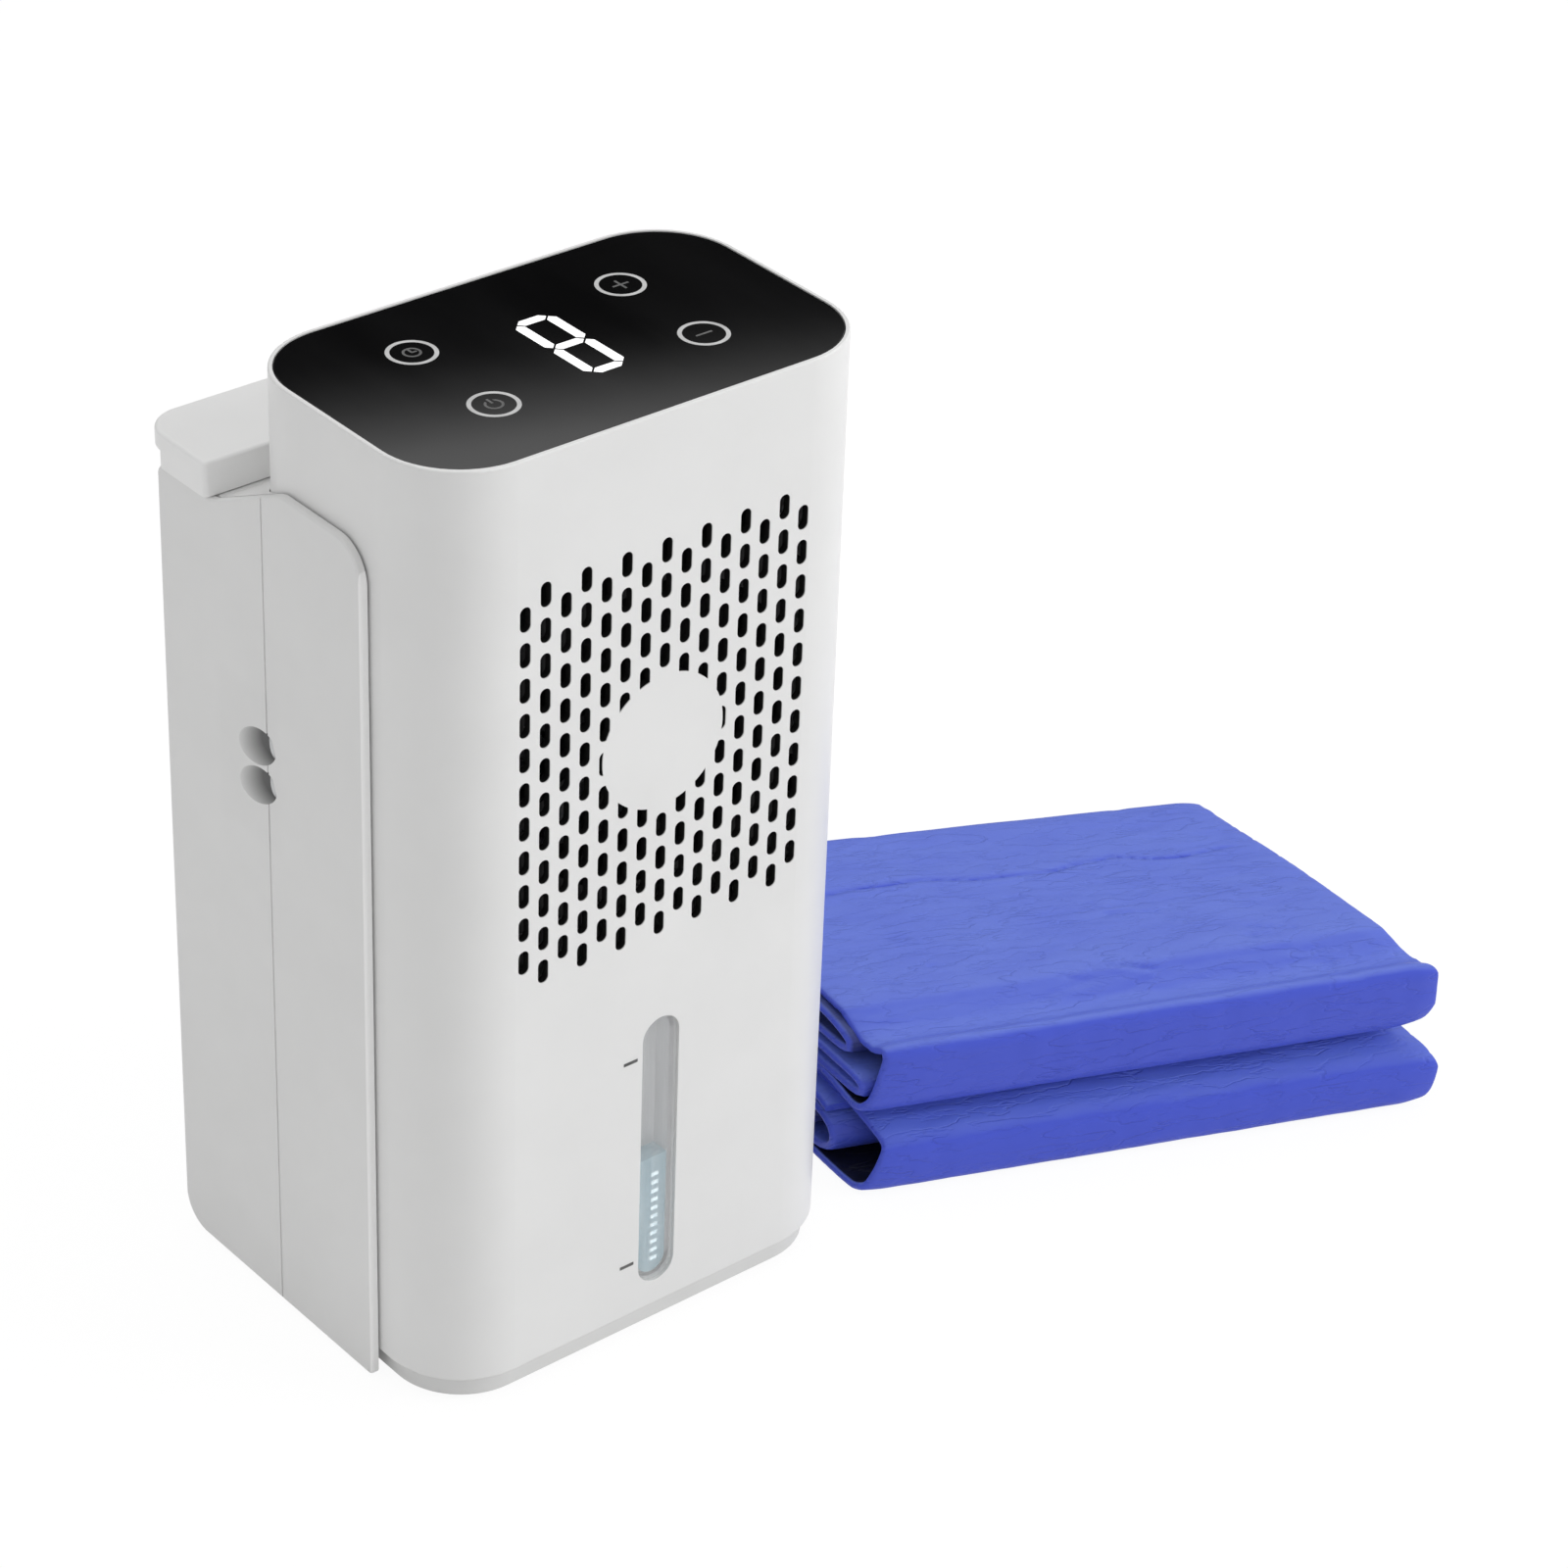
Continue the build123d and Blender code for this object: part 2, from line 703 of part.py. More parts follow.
# Side covers
def cover_plan(inset=0.0):
    """Side view of a cover, in Y and Z: upright lip, arc, ramp and level top."""
    front, rear, low = cover_front + inset, cover_rear - inset, cover_bottom + inset
    points = [(front, low), (front, ramp_top - inset), (ramp_front, ramp_top - inset),
              (ramp_rear, deck_height - inset), (rear, deck_height - inset), (rear, low)]
    return side_sketch(points, [2.0, cover_arc - inset, 10.0, 8.0, 3.0, 10.0])


def cover_plate():
    """The left cover without its troughs: face plate, inner plate and four pegs."""
    face = Pos(-cover_face, 0, 0) * extrude(Plane.YZ * cover_plan(), amount=cover_proud - cover_shadow_gap)
    face = fillet(face.faces().sort_by(Axis.X)[0].edges(), 0.8)
    inner = Pos(-half_width - cover_shadow_gap - 0.2, 0, 0) * extrude(
        Plane.YZ * cover_plan(cover_gap_inset), amount=cover_shadow_gap + 0.2)
    plate = face + (inner & block(-100, 0, 0, 200, 0, deck_height - 1.5))
    plate -= block(-cover_face - 1, -cover_face + 0.35, cover_seam_y - 0.35, cover_seam_y + 0.35, 0,
                   deck_height + 14)
    for y, z in cover_peg_places:
        plate += rod_x(y, z, cover_peg_radius, -half_width - 0.4, -half_width + 6)
    return plate


def trough_outside(height):
    """The trough's walls and its raised rim, which thins out to the rear."""
    outer = trough_radius + trough_wall
    tube = Pos(0, 0, (trough_length - trough_wall) / 2) * Cylinder(outer, trough_length + trough_wall)
    tube = fillet(tube.edges().sort_by(Axis.Z)[:1], 1.0)
    buried = along_port(height, tube) & block(0.4 - cover_face, 0, 0, 200, 0, 300)
    crest, ahead = -cover_face - rim_height, port_y - 2 * trough_radius
    wedge = Polygon((0.5 - cover_face, ahead), (crest, ahead), (crest, port_y),
                    (0.5 - cover_face, port_y + rim_reach), align=None)
    return buried + (along_port(height, tube) & extrude(wedge, amount=unit_height))


def trough_inside(height):
    """The trough's round bore, which the cover's face cuts at a slant, and the socket's hole."""
    bore = Pos(0, 0, trough_length / 2) * Cylinder(trough_radius, trough_length + 0.001)
    port_hole = Pos(0, 0, -trough_wall / 2) * Cylinder(port_radius + fit_gap, trough_wall + 0.5)
    return along_port(height, bore + port_hole)


plain_cover = cover_plate()
parts["side_cover_right"] = mirror(plain_cover, about=Plane.YZ)
left_cover = plain_cover
for height in port_heights:
    left_cover += trough_outside(height)
for height in port_heights:
    left_cover -= trough_inside(height)
    left_cover -= port_clearance(height)
parts["side_cover_left"] = left_cover


# Hose ports
def port(height):
    """A socket for the outside hose's plug, with a flange and an inner nipple."""
    def length_of(radius, start, end):
        """A round length of the port between two places on its axis."""
        return Pos(0, 0, (start + end) / 2) * Cylinder(radius, end - start)

    flange_top = -trough_wall - port_gasket_thickness
    body = length_of(port_radius, -port_body, port_mouth)
    body += length_of(port_flange, flange_top - port_flange_thickness, flange_top)
    body += length_of(nipple_radius, -port_reach, 1 - port_body)
    body -= length_of(port_bore, -port_bore_depth, port_mouth)
    body -= length_of(nipple_bore, -port_reach - 0.5, 0.5)
    return along_port(height, body)


def port_gasket(height):
    """A flat ring between the flange and the trough's end wall."""
    ring = Cylinder(port_flange, port_gasket_thickness) - Cylinder(port_radius + seat_gap, 2)
    return along_port(height, Pos(0, 0, -trough_wall - port_gasket_thickness / 2) * ring)


parts["outlet_port"] = port(port_heights[0])
parts["return_port"] = port(port_heights[1])
parts["port_gaskets"] = Compound(children=[port_gasket(height) for height in port_heights])

# Filler lid, its pins and seal
lid = prism(outline(lid_half, lid_front, lid_rear, 1.5, lid_corner), lid_bottom, lid_top)
lid = fillet(lid.faces().sort_by(Axis.Z)[-1].edges(), 1.0)
lid_room = outline(lid_half, lid_front, lid_rear, 1.5, lid_corner, lid_wall)
lid -= prism(lid_room, lid_bottom - 1, lid_top - lid_wall)
lid -= block(-lid_half - 1, lid_half + 1, rail_front - 0.5, lid_rear + 1, lid_bottom - 1, hinge_z + 1)
for side, middle in hinge_gaps():
    ends = (middle - lug_width / 2, middle + lug_width / 2)
    lid += rod_x(hinge_y, hinge_z, lug_radius, *ends)
    lid += block(*ends, hinge_y - lug_radius, hinge_y + 3.3, hinge_z, lid_top - lid_wall + 0.5)
    lid -= rod_x(hinge_y, hinge_z, hinge_pin_radius + run_gap, *ends)
parts["filler_lid"] = lid
pin_reach = lug_width / 2 + ear_width + 0.2
parts["lid_hinge_pins"] = Compound(children=[
    rod_x(hinge_y, hinge_z, hinge_pin_radius, middle - pin_reach, middle + pin_reach)
    for side, middle in hinge_gaps()])
seal = block(-chute_half_width - 4, chute_half_width + 4, chute_front - 0.2, chute_rear - 0.3,
             deck_height, deck_height + seal_height)
parts["lid_seal"] = seal - block(-chute_half_width - 0.5, chute_half_width + 0.5, chute_front + 1.6,
                                 chute_rear - 2, deck_height - 1, deck_height + 3)

# Fan
fan_half = fan_size / 2
fan_frame = block(-fan_half, fan_half, fan_front, fan_rear, grille_height - fan_half, grille_height + fan_half)
fan_frame = fillet(fan_frame.edges().filter_by(Axis.Y), 4.0)
fan_frame -= rod_y(0, grille_height, fan_bore, fan_front - 1, fan_rear + 1)
fan_frame += rod_y(0, grille_height, fan_hub_radius - 1, fan_rear - fan_strut_depth, fan_rear)
strut = block(-fan_strut_width / 2, fan_strut_width / 2, fan_rear - fan_strut_depth, fan_rear,
              fan_hub_radius - 4, fan_bore + 1)
for turn in range(4):
    fan_frame += Pos(0, 0, grille_height) * Rot(0, 45 + 90 * turn, 0) * strut
ear_back = fan_front + 2 * fan_ear_thickness
for x, z in fan_ear_places():
    ear = block(*sided(1 if x > 0 else -1, fan_half - 1, fan_ear_x + fan_ear_reach),
                ear_back - fan_ear_thickness, ear_back, z - fan_ear_half_height, z + fan_ear_half_height)
    fan_frame += ear - rod_y(x, z, passage(fan_screw), fan_front, ear_back + 4)
fan_frame &= prism(tower_plan(shell_wall + fit_gap), 0, unit_height)
fan_frame -= rod_y(0, grille_height, fan_shaft_radius + run_gap, fan_rear - 4, fan_rear + 1)
parts["fan_frame"] = fan_frame
parts["fan_axle"] = rod_y(0, grille_height, fan_shaft_radius, fan_front + 2, fan_rear)
parts["fan_screws"] = Compound(children=[Pos(x, ear_back, z) * Rot(-90, 0, 0) * screw(*fan_screw)
                                         for x, z in fan_ear_places()])
blade = Pos(0, fan_front + 12, (fan_hub_radius + fan_blade_radius) / 2) * Rot(0, 0, fan_blade_pitch) * Box(
    1.6, 20, fan_blade_radius - fan_hub_radius + 6)
impeller = rod_y(0, 0, fan_hub_radius, fan_front + 2, fan_rear - 3.5)
impeller = fillet(impeller.edges().sort_by(Axis.Y)[:1], 2.0)
for number in range(fan_blades):
    impeller += Rot(0, 360 / fan_blades * number, 0) * blade
impeller &= rod_y(0, 0, fan_blade_radius, fan_front + 1, fan_rear - 3.5)
impeller -= rod_y(0, 0, fan_hub_radius - 2, fan_front + 6, fan_rear)
impeller += rod_y(0, 0, 3.5, fan_front + 5, fan_rear - 4)
impeller -= rod_y(0, 0, fan_shaft_radius + run_gap, fan_front + 1.5, fan_rear)
parts["fan_impeller"] = Pos(0, 0, grille_height) * impeller

# Radiator
tube_pitch = 2 * core_half_width / tube_count
tube_x = [(number - (tube_count - 1) / 2) * tube_pitch for number in range(tube_count)]


def tube_set(grow, z0, z1):
    """Flat upright tubes with round edges, all in one sketch."""
    sketch = Sketch()
    for x in tube_x:
        tube = SlotOverall(radiator_depth - 2 + 2 * grow, tube_thickness + 2 * grow, rotation=90)
        sketch += Pos(x, radiator_middle) * tube
    return prism(sketch, z0, z1)


def header(z0, place):
    """One end tank of the radiator, with a hose nipple under its end past the core."""
    x, y = place
    left = min(-header_half_width, x - header_margin)
    right = max(header_half_width, x + header_margin)
    front, back, z1 = radiator_front, radiator_front + radiator_depth, z0 + header_height
    body = fillet(block(left, right, front, back, z0, z1).edges().filter_by(Axis.Z), 2.0)
    wall = header_wall
    body -= block(left + wall, right - wall, front + wall, back - wall, z0 + wall, z1 - wall)
    body += nipple(x, y, z0 - short_nipple, z0 + 1)
    return body - rod_z(x, y, nipple_bore, z0 - short_nipple - 1, z0 + wall + 0.5)


pump_outlet = (pump_outlet_x, pump_rear - volute_depth / 2)
hose_column = (port_point(port_heights[0], -hose_run).X, port_point(port_heights[0], -hose_run).Y)
header_bottom = core_bottom - header_height
tube_room = tube_set(seat_gap, core_bottom - 1.1, core_top + 1.1)
parts["radiator_bottom_header"] = header(header_bottom, pump_outlet) - tube_room
parts["radiator_top_header"] = header(core_top, hose_column) - tube_room
parts["radiator_tubes"] = (tube_set(0, core_bottom - 1, core_top + 1)
                           - tube_set(-tube_wall, core_bottom - 2, core_top + 2))
fin = block(-core_half_width, core_half_width, radiator_front + 0.5, radiator_front + radiator_depth - 0.5,
            0, fin_thickness)
fin -= tube_set(seat_gap, -1, fin_thickness + 1)
fin_pitch = core_height / (fin_count + 1)
parts["radiator_fins"] = Compound(children=[Pos(0, 0, core_bottom + fin_pitch * (number + 1)) * fin
                                            for number in range(fin_count)])
bracket_overlap = 4.0
parts["radiator_brackets"] = Compound(children=[
    block(-bracket_half_width, bracket_half_width, fan_rear, radiator_front, low, high)
    for low, high in ((core_bottom - 5, grille_height - fan_half + bracket_overlap),
                      (grille_height + fan_half - bracket_overlap, core_top + 5))])

# Tank
tank_outer = block(tank_left, tank_right, tank_front, tank_rear, tank_bottom, tank_top)
tank_outer = fillet(tank_outer.edges().filter_by(Axis.Z), 4.0)
tank_inner = (tank_left + tank_wall, tank_right - tank_wall, tank_front + tank_wall, tank_rear - tank_wall)
tank = tank_outer - block(*tank_inner, tank_bottom + tank_wall, tank_top + 1)
wall_back = tank_front + tank_wall
for x, z in ((window_x, sight_z), (pump_x, pump_z)):
    tank -= rod_y(x, z, grommet_radius + seat_gap, tank_front - 1, wall_back + 1)
parts["water_tank"] = tank
sight_grommet = rod_y(window_x, sight_z, grommet_radius, tank_front, wall_back)
sight_grommet += rod_y(window_x, sight_z, nipple_radius, tank_front - 9, wall_back)
pump_grommet = rod_y(pump_x, pump_z, grommet_radius, tank_front, wall_back)
parts["tank_grommets"] = Compound(children=[
    sight_grommet - rod_y(window_x, sight_z, nipple_bore, tank_front - 10, wall_back + 1),
    pump_grommet - rod_y(pump_x, pump_z, pump_inlet_radius + seat_gap, tank_front - 1, wall_back + 1)])
rim = tank_outer & block(tank_left, tank_right, tank_front, tank_rear, tank_top - gasket_thickness, tank_top)
parts["tank_gasket"] = Pos(0, 0, gasket_thickness) * (rim - block(*tank_inner, 0, unit_height))
cover_blank = tank_outer & block(tank_left, tank_right, tank_front, tank_rear,
                                 tank_top - tank_cover_thickness, tank_top)
tank_cover = Pos(0, 0, gasket_thickness + tank_cover_thickness) * cover_blank
cover_top = cover_base + tank_cover_thickness
tank_cover -= block(-chute_half_width - fit_gap, chute_half_width + fit_gap, chute_front - fit_gap,
                    chute_rear - chute_wall - fit_gap, cover_base - 1, cover_top + 1)
tank_cover += nipple(return_x, return_y, cover_top - 0.5, cover_top + short_nipple)
tank_cover -= rod_z(return_x, return_y, nipple_bore, cover_base - 1, cover_top + short_nipple + 1)
parts["tank_cover"] = tank_cover
chute_tail = chute_rear - chute_wall - 2 * fit_gap
chute_top = deck_height - housing_wall
chute = block(-chute_half_width, chute_half_width, chute_front, chute_tail, cover_base, chute_top)
chute += block(-chute_half_width - chute_flange, chute_half_width + chute_flange, chute_front - 3,
               chute_rear + 3, chute_top - 2, chute_top)
chute -= block(-chute_half_width + chute_wall, chute_half_width - chute_wall, chute_front + chute_wall,
               chute_tail - chute_wall, cover_base - 1, deck_height)
parts["filler_chute"] = chute

# Pump
volute_front = pump_rear - volute_depth
volute_top = pump_z + volute_radius
volute_back = pump_rear - pump_wall
bearing_radius = pump_shaft_radius + run_gap
pump_body = rod_y(pump_x, pump_z, volute_radius, volute_front, pump_rear)
pump_body += block(pump_x - pump_foot, pump_x + pump_foot, volute_front, pump_rear, tank_bottom, pump_z)
pump_body += nipple(*pump_outlet, pump_z, volute_top + long_nipple)
pump_body += rod_z(*pump_outlet, pump_boss_radius, pump_z, volute_top)
pump_body += rod_y(pump_x, pump_z, pump_inlet_radius, pump_rear - 0.5, wall_back)
pump_body -= rod_y(pump_x, pump_z, volute_radius - pump_wall, volute_front - 1, volute_back)
pump_body -= rod_y(pump_x, pump_z, pump_inlet_bore, pump_rear - 4, wall_back + 1)
pump_body -= rod_z(*pump_outlet, nipple_bore, pump_z, volute_top + long_nipple + 1)
parts["pump_body"] = pump_body
cover_front_y = volute_front - pump_cover_thickness
parts["pump_cover"] = (rod_y(pump_x, pump_z, volute_radius, cover_front_y, volute_front)
                       - rod_y(pump_x, pump_z, bearing_radius, cover_front_y - 1, volute_front + 1))
motor = rod_y(pump_x, pump_z, motor_radius, cover_front_y - motor_length, cover_front_y)
motor = fillet(motor.edges().sort_by(Axis.Y)[:1], 1.5)
parts["pump_motor"] = motor - rod_y(pump_x, pump_z, bearing_radius, cover_front_y - 12, cover_front_y + 1)
parts["pump_shaft"] = rod_y(pump_x, pump_z, pump_shaft_radius, cover_front_y - 11, volute_back - pump_end_gap)
rotor_front, rotor_back = volute_front + 0.6, volute_back - pump_end_gap - 0.4
rotor = rod_y(0, 0, 4.0, rotor_front, rotor_back)
rotor += rod_y(0, 0, impeller_radius, rotor_front, rotor_front + rotor_disc)
vane = block(-vane_thickness / 2, vane_thickness / 2, rotor_front + rotor_disc - 0.2, rotor_back, 3,
             impeller_radius - 0.3)
for number in range(vane_count):
    rotor += Rot(0, 360 / vane_count * number, 0) * vane
rotor -= rod_y(0, 0, bearing_radius, volute_front, pump_rear)
parts["pump_impeller"] = Pos(pump_x, 0, pump_z) * rotor

# Hoses inside the unit
parts["pump_hose"] = hose([(*pump_outlet, volute_top + long_nipple - nipple_grip),
                           (*pump_outlet, header_bottom - short_nipple + nipple_grip)], None)


def port_hose_start(height):
    """Where a hose begins on a port's nipple, and where it meets the hose column."""
    first, turn = port_point(height, nipple_grip - port_reach), port_point(height, -hose_run)
    return [(first.X, first.Y, first.Z), (*hose_column, turn.Z)]


outlet_end = core_top - short_nipple + nipple_grip
parts["outlet_hose"] = hose(port_hose_start(port_heights[0]) + [(*hose_column, outlet_end)], [9.0])
parts["return_hose"] = hose(port_hose_start(port_heights[1])
                            + [(hose_column[0], hose_column[1] + 7, return_bend),
                               (return_x, return_y, return_bend), (return_x, return_y, cover_top + 2)],
                            [6.0, 7.0, 8.0])


# Base, feet and screws
def base_plan(inset):
    """The plinth's plan, under the tower and the rear housing."""
    return tower_plan(inset) + outline(half_width, housing_front - 30, rear_face, 0, rear_corner, inset)


floor_top = plinth_low + plinth_wall
base = prism(base_plan(plinth_inset), plinth_low, plinth_high)
base -= prism(base_plan(plinth_inset + plinth_wall), floor_top, plinth_high + 1)
for x in rib_places:
    base += block(x - rib_thickness / 2, x + rib_thickness / 2, tank_front + 2, tank_rear - 2,
                  floor_top - 0.2, tank_bottom)
base += block(pump_x - pump_foot, pump_x + pump_foot, volute_front + 1, pump_rear - 1,
              floor_top - 0.2, tank_bottom)
foot_spots = [(side * x, y) for x, y in foot_places for side in (-1, 1)]
for x, y in foot_spots:
    base += rod_z(x, y, foot_radius + 2, floor_top - 0.5, floor_top + 1.4)
    base -= rod_z(x, y, foot_radius + 0.2, 0, foot_height)
base_screw_spots = base_screw_places(0) + base_screw_places(1)
for x, y in base_screw_spots:
    base -= rod_z(x, y, passage(base_screw), 0, 10)
    base -= rod_z(x, y, base_screw[0] + head_room, 0, plinth_low + base_screw[1])
parts["base_plinth"] = base
foot = Cylinder(foot_radius, foot_height)
foot = fillet(foot.edges().sort_by(Axis.Z)[:1], 0.5)
parts["rubber_feet"] = Compound(children=[Pos(x, y, foot_height / 2) * foot for x, y in foot_spots])
parts["base_screws"] = Compound(children=[
    Pos(x, y, plinth_low + base_screw[1]) * Rot(180, 0, 0) * screw(*base_screw) for x, y in base_screw_spots])
parts["housing_screws"] = Compound(children=[
    Pos(side * (half_width - housing_head_depth), housing_screw_y, z) * Rot(0, 90 * side, 0)
    * screw(*housing_screw) for side, z in housing_screw_places()])

# Control board and power inlet
board = block(board_left, board_right, board_post_end, board_post_end + board_thickness, board_low, board_high)
for x, z in board_corners():
    board -= rod_y(x, z, passage(board_screw), board_post_end - 1, board_post_end + 5)
back = board_post_end + board_thickness
for left, right, low, high, depth in board_blocks:
    board += block(left, right, back, back + depth, low, high)
for x, z, radius, depth in board_cans:
    board += rod_y(x, z, radius, back, back + depth)
parts["control_board"] = board
parts["board_screws"] = Compound(children=[Pos(x, back, z) * Rot(-90, 0, 0) * screw(*board_screw)
                                           for x, z in board_corners()])
inlet = block(inlet_x - inlet_body, inlet_x + inlet_body, rear_face - 14, rear_face - housing_wall,
              inlet_z - inlet_body, inlet_z + inlet_body)
inlet += rod_y(inlet_x, inlet_z, inlet_sleeve, rear_face - housing_wall - 1, rear_face + 0.4)
inlet -= rod_y(inlet_x, inlet_z, inlet_bore, rear_face - inlet_depth, rear_face + 1)
inlet += rod_y(inlet_x, inlet_z, inlet_pin, rear_face - inlet_depth - 1, rear_face - 1)
parts["dc_inlet"] = inlet


# Folded water pad
def pad_way(angle, length):
    """A level step in the given direction."""
    return Vector(length * cos(radians(angle)), length * sin(radians(angle)), 0)


pad_start = Vector(half_width + pad_clearance, pad_corner_y, 0)
pad_front = pad_way(pad_front_angle, pad_front_length)
pad_rear_start = pad_start + pad_way(pad_left_angle, pad_left_depth)
pad_rear = pad_way(pad_rear_angle, pad_rear_length)


def pack_plane(along):
    """The upright plane of one cut, from the front edge to the rear edge, and the cut's length."""
    share = along / pad_front_length
    front, rear = pad_start + pad_front * share, pad_rear_start + pad_rear * share
    back = (rear - front).normalized()
    return Plane(origin=front, x_dir=back, z_dir=back.cross(Vector(0, 0, 1))), (rear - front).length


def pack_section(along, draw_in, low, high):
    """One cut through a pack: flat below, crowned above, a round fold at the front and rear."""
    plane, depth = pack_plane(along)
    z0, z1 = low + draw_in * 0.5, high - draw_in * 0.5
    front, rear = draw_in, depth - draw_in
    rise = min(pad_crown, (z1 - z0) / 4)
    edge = z1 - rise
    bulge = (edge - z0) / 2
    middle = (z0 + edge) / 2
    nook = bulge * (1 - cos(radians(45)))
    lines = [
        Line((front + bulge, z0), (rear - bulge, z0)),
        ThreePointArc((rear - bulge, z0), (rear - nook, z0 + nook), (rear, middle)),
        ThreePointArc((rear, middle), (rear - nook, edge - nook), (rear - bulge, edge)),
        ThreePointArc((rear - bulge, edge), ((front + rear) / 2, z1), (front + bulge, edge)),
        ThreePointArc((front + bulge, edge), (front + nook, edge - nook), (front, middle)),
        ThreePointArc((front, middle), (front + nook, z0 + nook), (front + bulge, z0))]
    return plane * make_face(lines)


def pack(low, high):
    """A folded pack of cloth: drawn in at its ends, with the hollow of its rolled fold at the left."""
    length, turn = pad_front_length, pad_end_round
    stations = [(0, 3.0), (turn * 0.4, 0.9), (turn, 0.0), (length - turn, 0.0), (length - turn * 0.4, 1.8),
                (length, turn * 0.8)]
    body = loft([pack_section(along, draw_in, low, high) for along, draw_in in stations], ruled=True)
    hollow_length, hollow_height, reach = pad_hollow
    place = Pos(hollow_length / 2 + 6.5, (low + high) / 2)
    hollow = extrude(pack_plane(-2)[0] * place * SlotOverall(hollow_length, hollow_height), amount=reach)
    return body - hollow


pack_height = (pad_height - pad_gap) / 2
parts["pad_lower_fold"] = pack(0, pack_height)
parts["pad_upper_fold"] = pack(pack_height + pad_gap, pad_height)

# Move everything so that the origin is the bottom centre of the whole, then write the files
whole = Compound(children=[Compound(children=shape.solids()) for shape in parts.values()]).bounding_box()
shift = (-round((whole.min.X + whole.max.X) / 2, 1), -round((whole.min.Y + whole.max.Y) / 2, 1), 0)
os.makedirs("parts", exist_ok=True)
for name, shape in parts.items():
    export_step(Compound(children=(Pos(*shift) * shape).solids()), "parts/" + name + ".step")
print("moved by", shift)
print("whole size", [round(value, 2) for value in whole.size])
print("nodes", len(parts))
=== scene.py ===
"""Looks of a water cooling mattress pad: a white host unit and its folded blue water pad.

Every length is in metres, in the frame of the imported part: X to the right, Y to the back and Z up,
with the origin at the bottom centre of the whole.
"""
import json
import logging
from dataclasses import dataclass
from enum import Enum
from functools import reduce
from math import cos, radians, sin, tau
from typing import Callable, Sequence

import bmesh
import bpy
import numpy as np
from mathutils import Matrix, Vector, noise

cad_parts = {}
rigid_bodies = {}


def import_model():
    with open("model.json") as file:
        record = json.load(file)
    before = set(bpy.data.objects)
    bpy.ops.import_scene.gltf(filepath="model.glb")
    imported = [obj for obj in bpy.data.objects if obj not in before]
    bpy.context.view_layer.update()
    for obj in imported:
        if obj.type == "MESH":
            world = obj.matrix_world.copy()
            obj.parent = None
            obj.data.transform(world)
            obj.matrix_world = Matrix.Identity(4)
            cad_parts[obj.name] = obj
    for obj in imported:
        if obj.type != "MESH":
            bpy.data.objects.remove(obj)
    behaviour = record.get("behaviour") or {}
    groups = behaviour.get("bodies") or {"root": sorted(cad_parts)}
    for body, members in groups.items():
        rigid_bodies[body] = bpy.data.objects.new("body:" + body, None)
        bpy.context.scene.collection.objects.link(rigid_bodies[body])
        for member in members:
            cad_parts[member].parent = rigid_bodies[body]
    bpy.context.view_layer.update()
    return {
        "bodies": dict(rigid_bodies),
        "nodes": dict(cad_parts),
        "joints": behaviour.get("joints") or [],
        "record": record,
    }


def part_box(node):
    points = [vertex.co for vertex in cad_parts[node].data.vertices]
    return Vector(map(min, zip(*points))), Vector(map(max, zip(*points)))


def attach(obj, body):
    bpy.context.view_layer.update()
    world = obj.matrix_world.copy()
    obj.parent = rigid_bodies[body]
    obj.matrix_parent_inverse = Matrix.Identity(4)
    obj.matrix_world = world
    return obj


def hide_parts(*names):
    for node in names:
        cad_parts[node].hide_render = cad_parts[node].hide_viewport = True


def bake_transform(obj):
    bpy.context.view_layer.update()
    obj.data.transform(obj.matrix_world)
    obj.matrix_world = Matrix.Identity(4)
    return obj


log = logging.getLogger("water_pad")
MM = 0.001
CLOTH_MAP = "cloth"      # the cloth's own map, in metres
PAINTED_SHADE_ATTRIBUTE = "painted_shade"        # painted shade: how deep a point lies between the layers, from 0 to 1, and so how dark it is coloured
Colour = tuple[float, float, float]
Outline = list[tuple[float, float]]
Socket = bpy.types.NodeSocket
Inputs = dict[str, object]


def rgba(colour: Colour) -> tuple[float, float, float, float]:
    """The colour with an alpha of one."""
    return (*colour, 1.0)


def toned(colour: Colour, share: float, lift: float = 0.0) -> Colour:
    """The colour made darker or lighter by a share, and then lifted."""
    return tuple(channel * share + lift for channel in colour)


def mm(*values: float) -> tuple[float, ...]:
    """Millimetres as metres."""
    return tuple(value * MM for value in values)


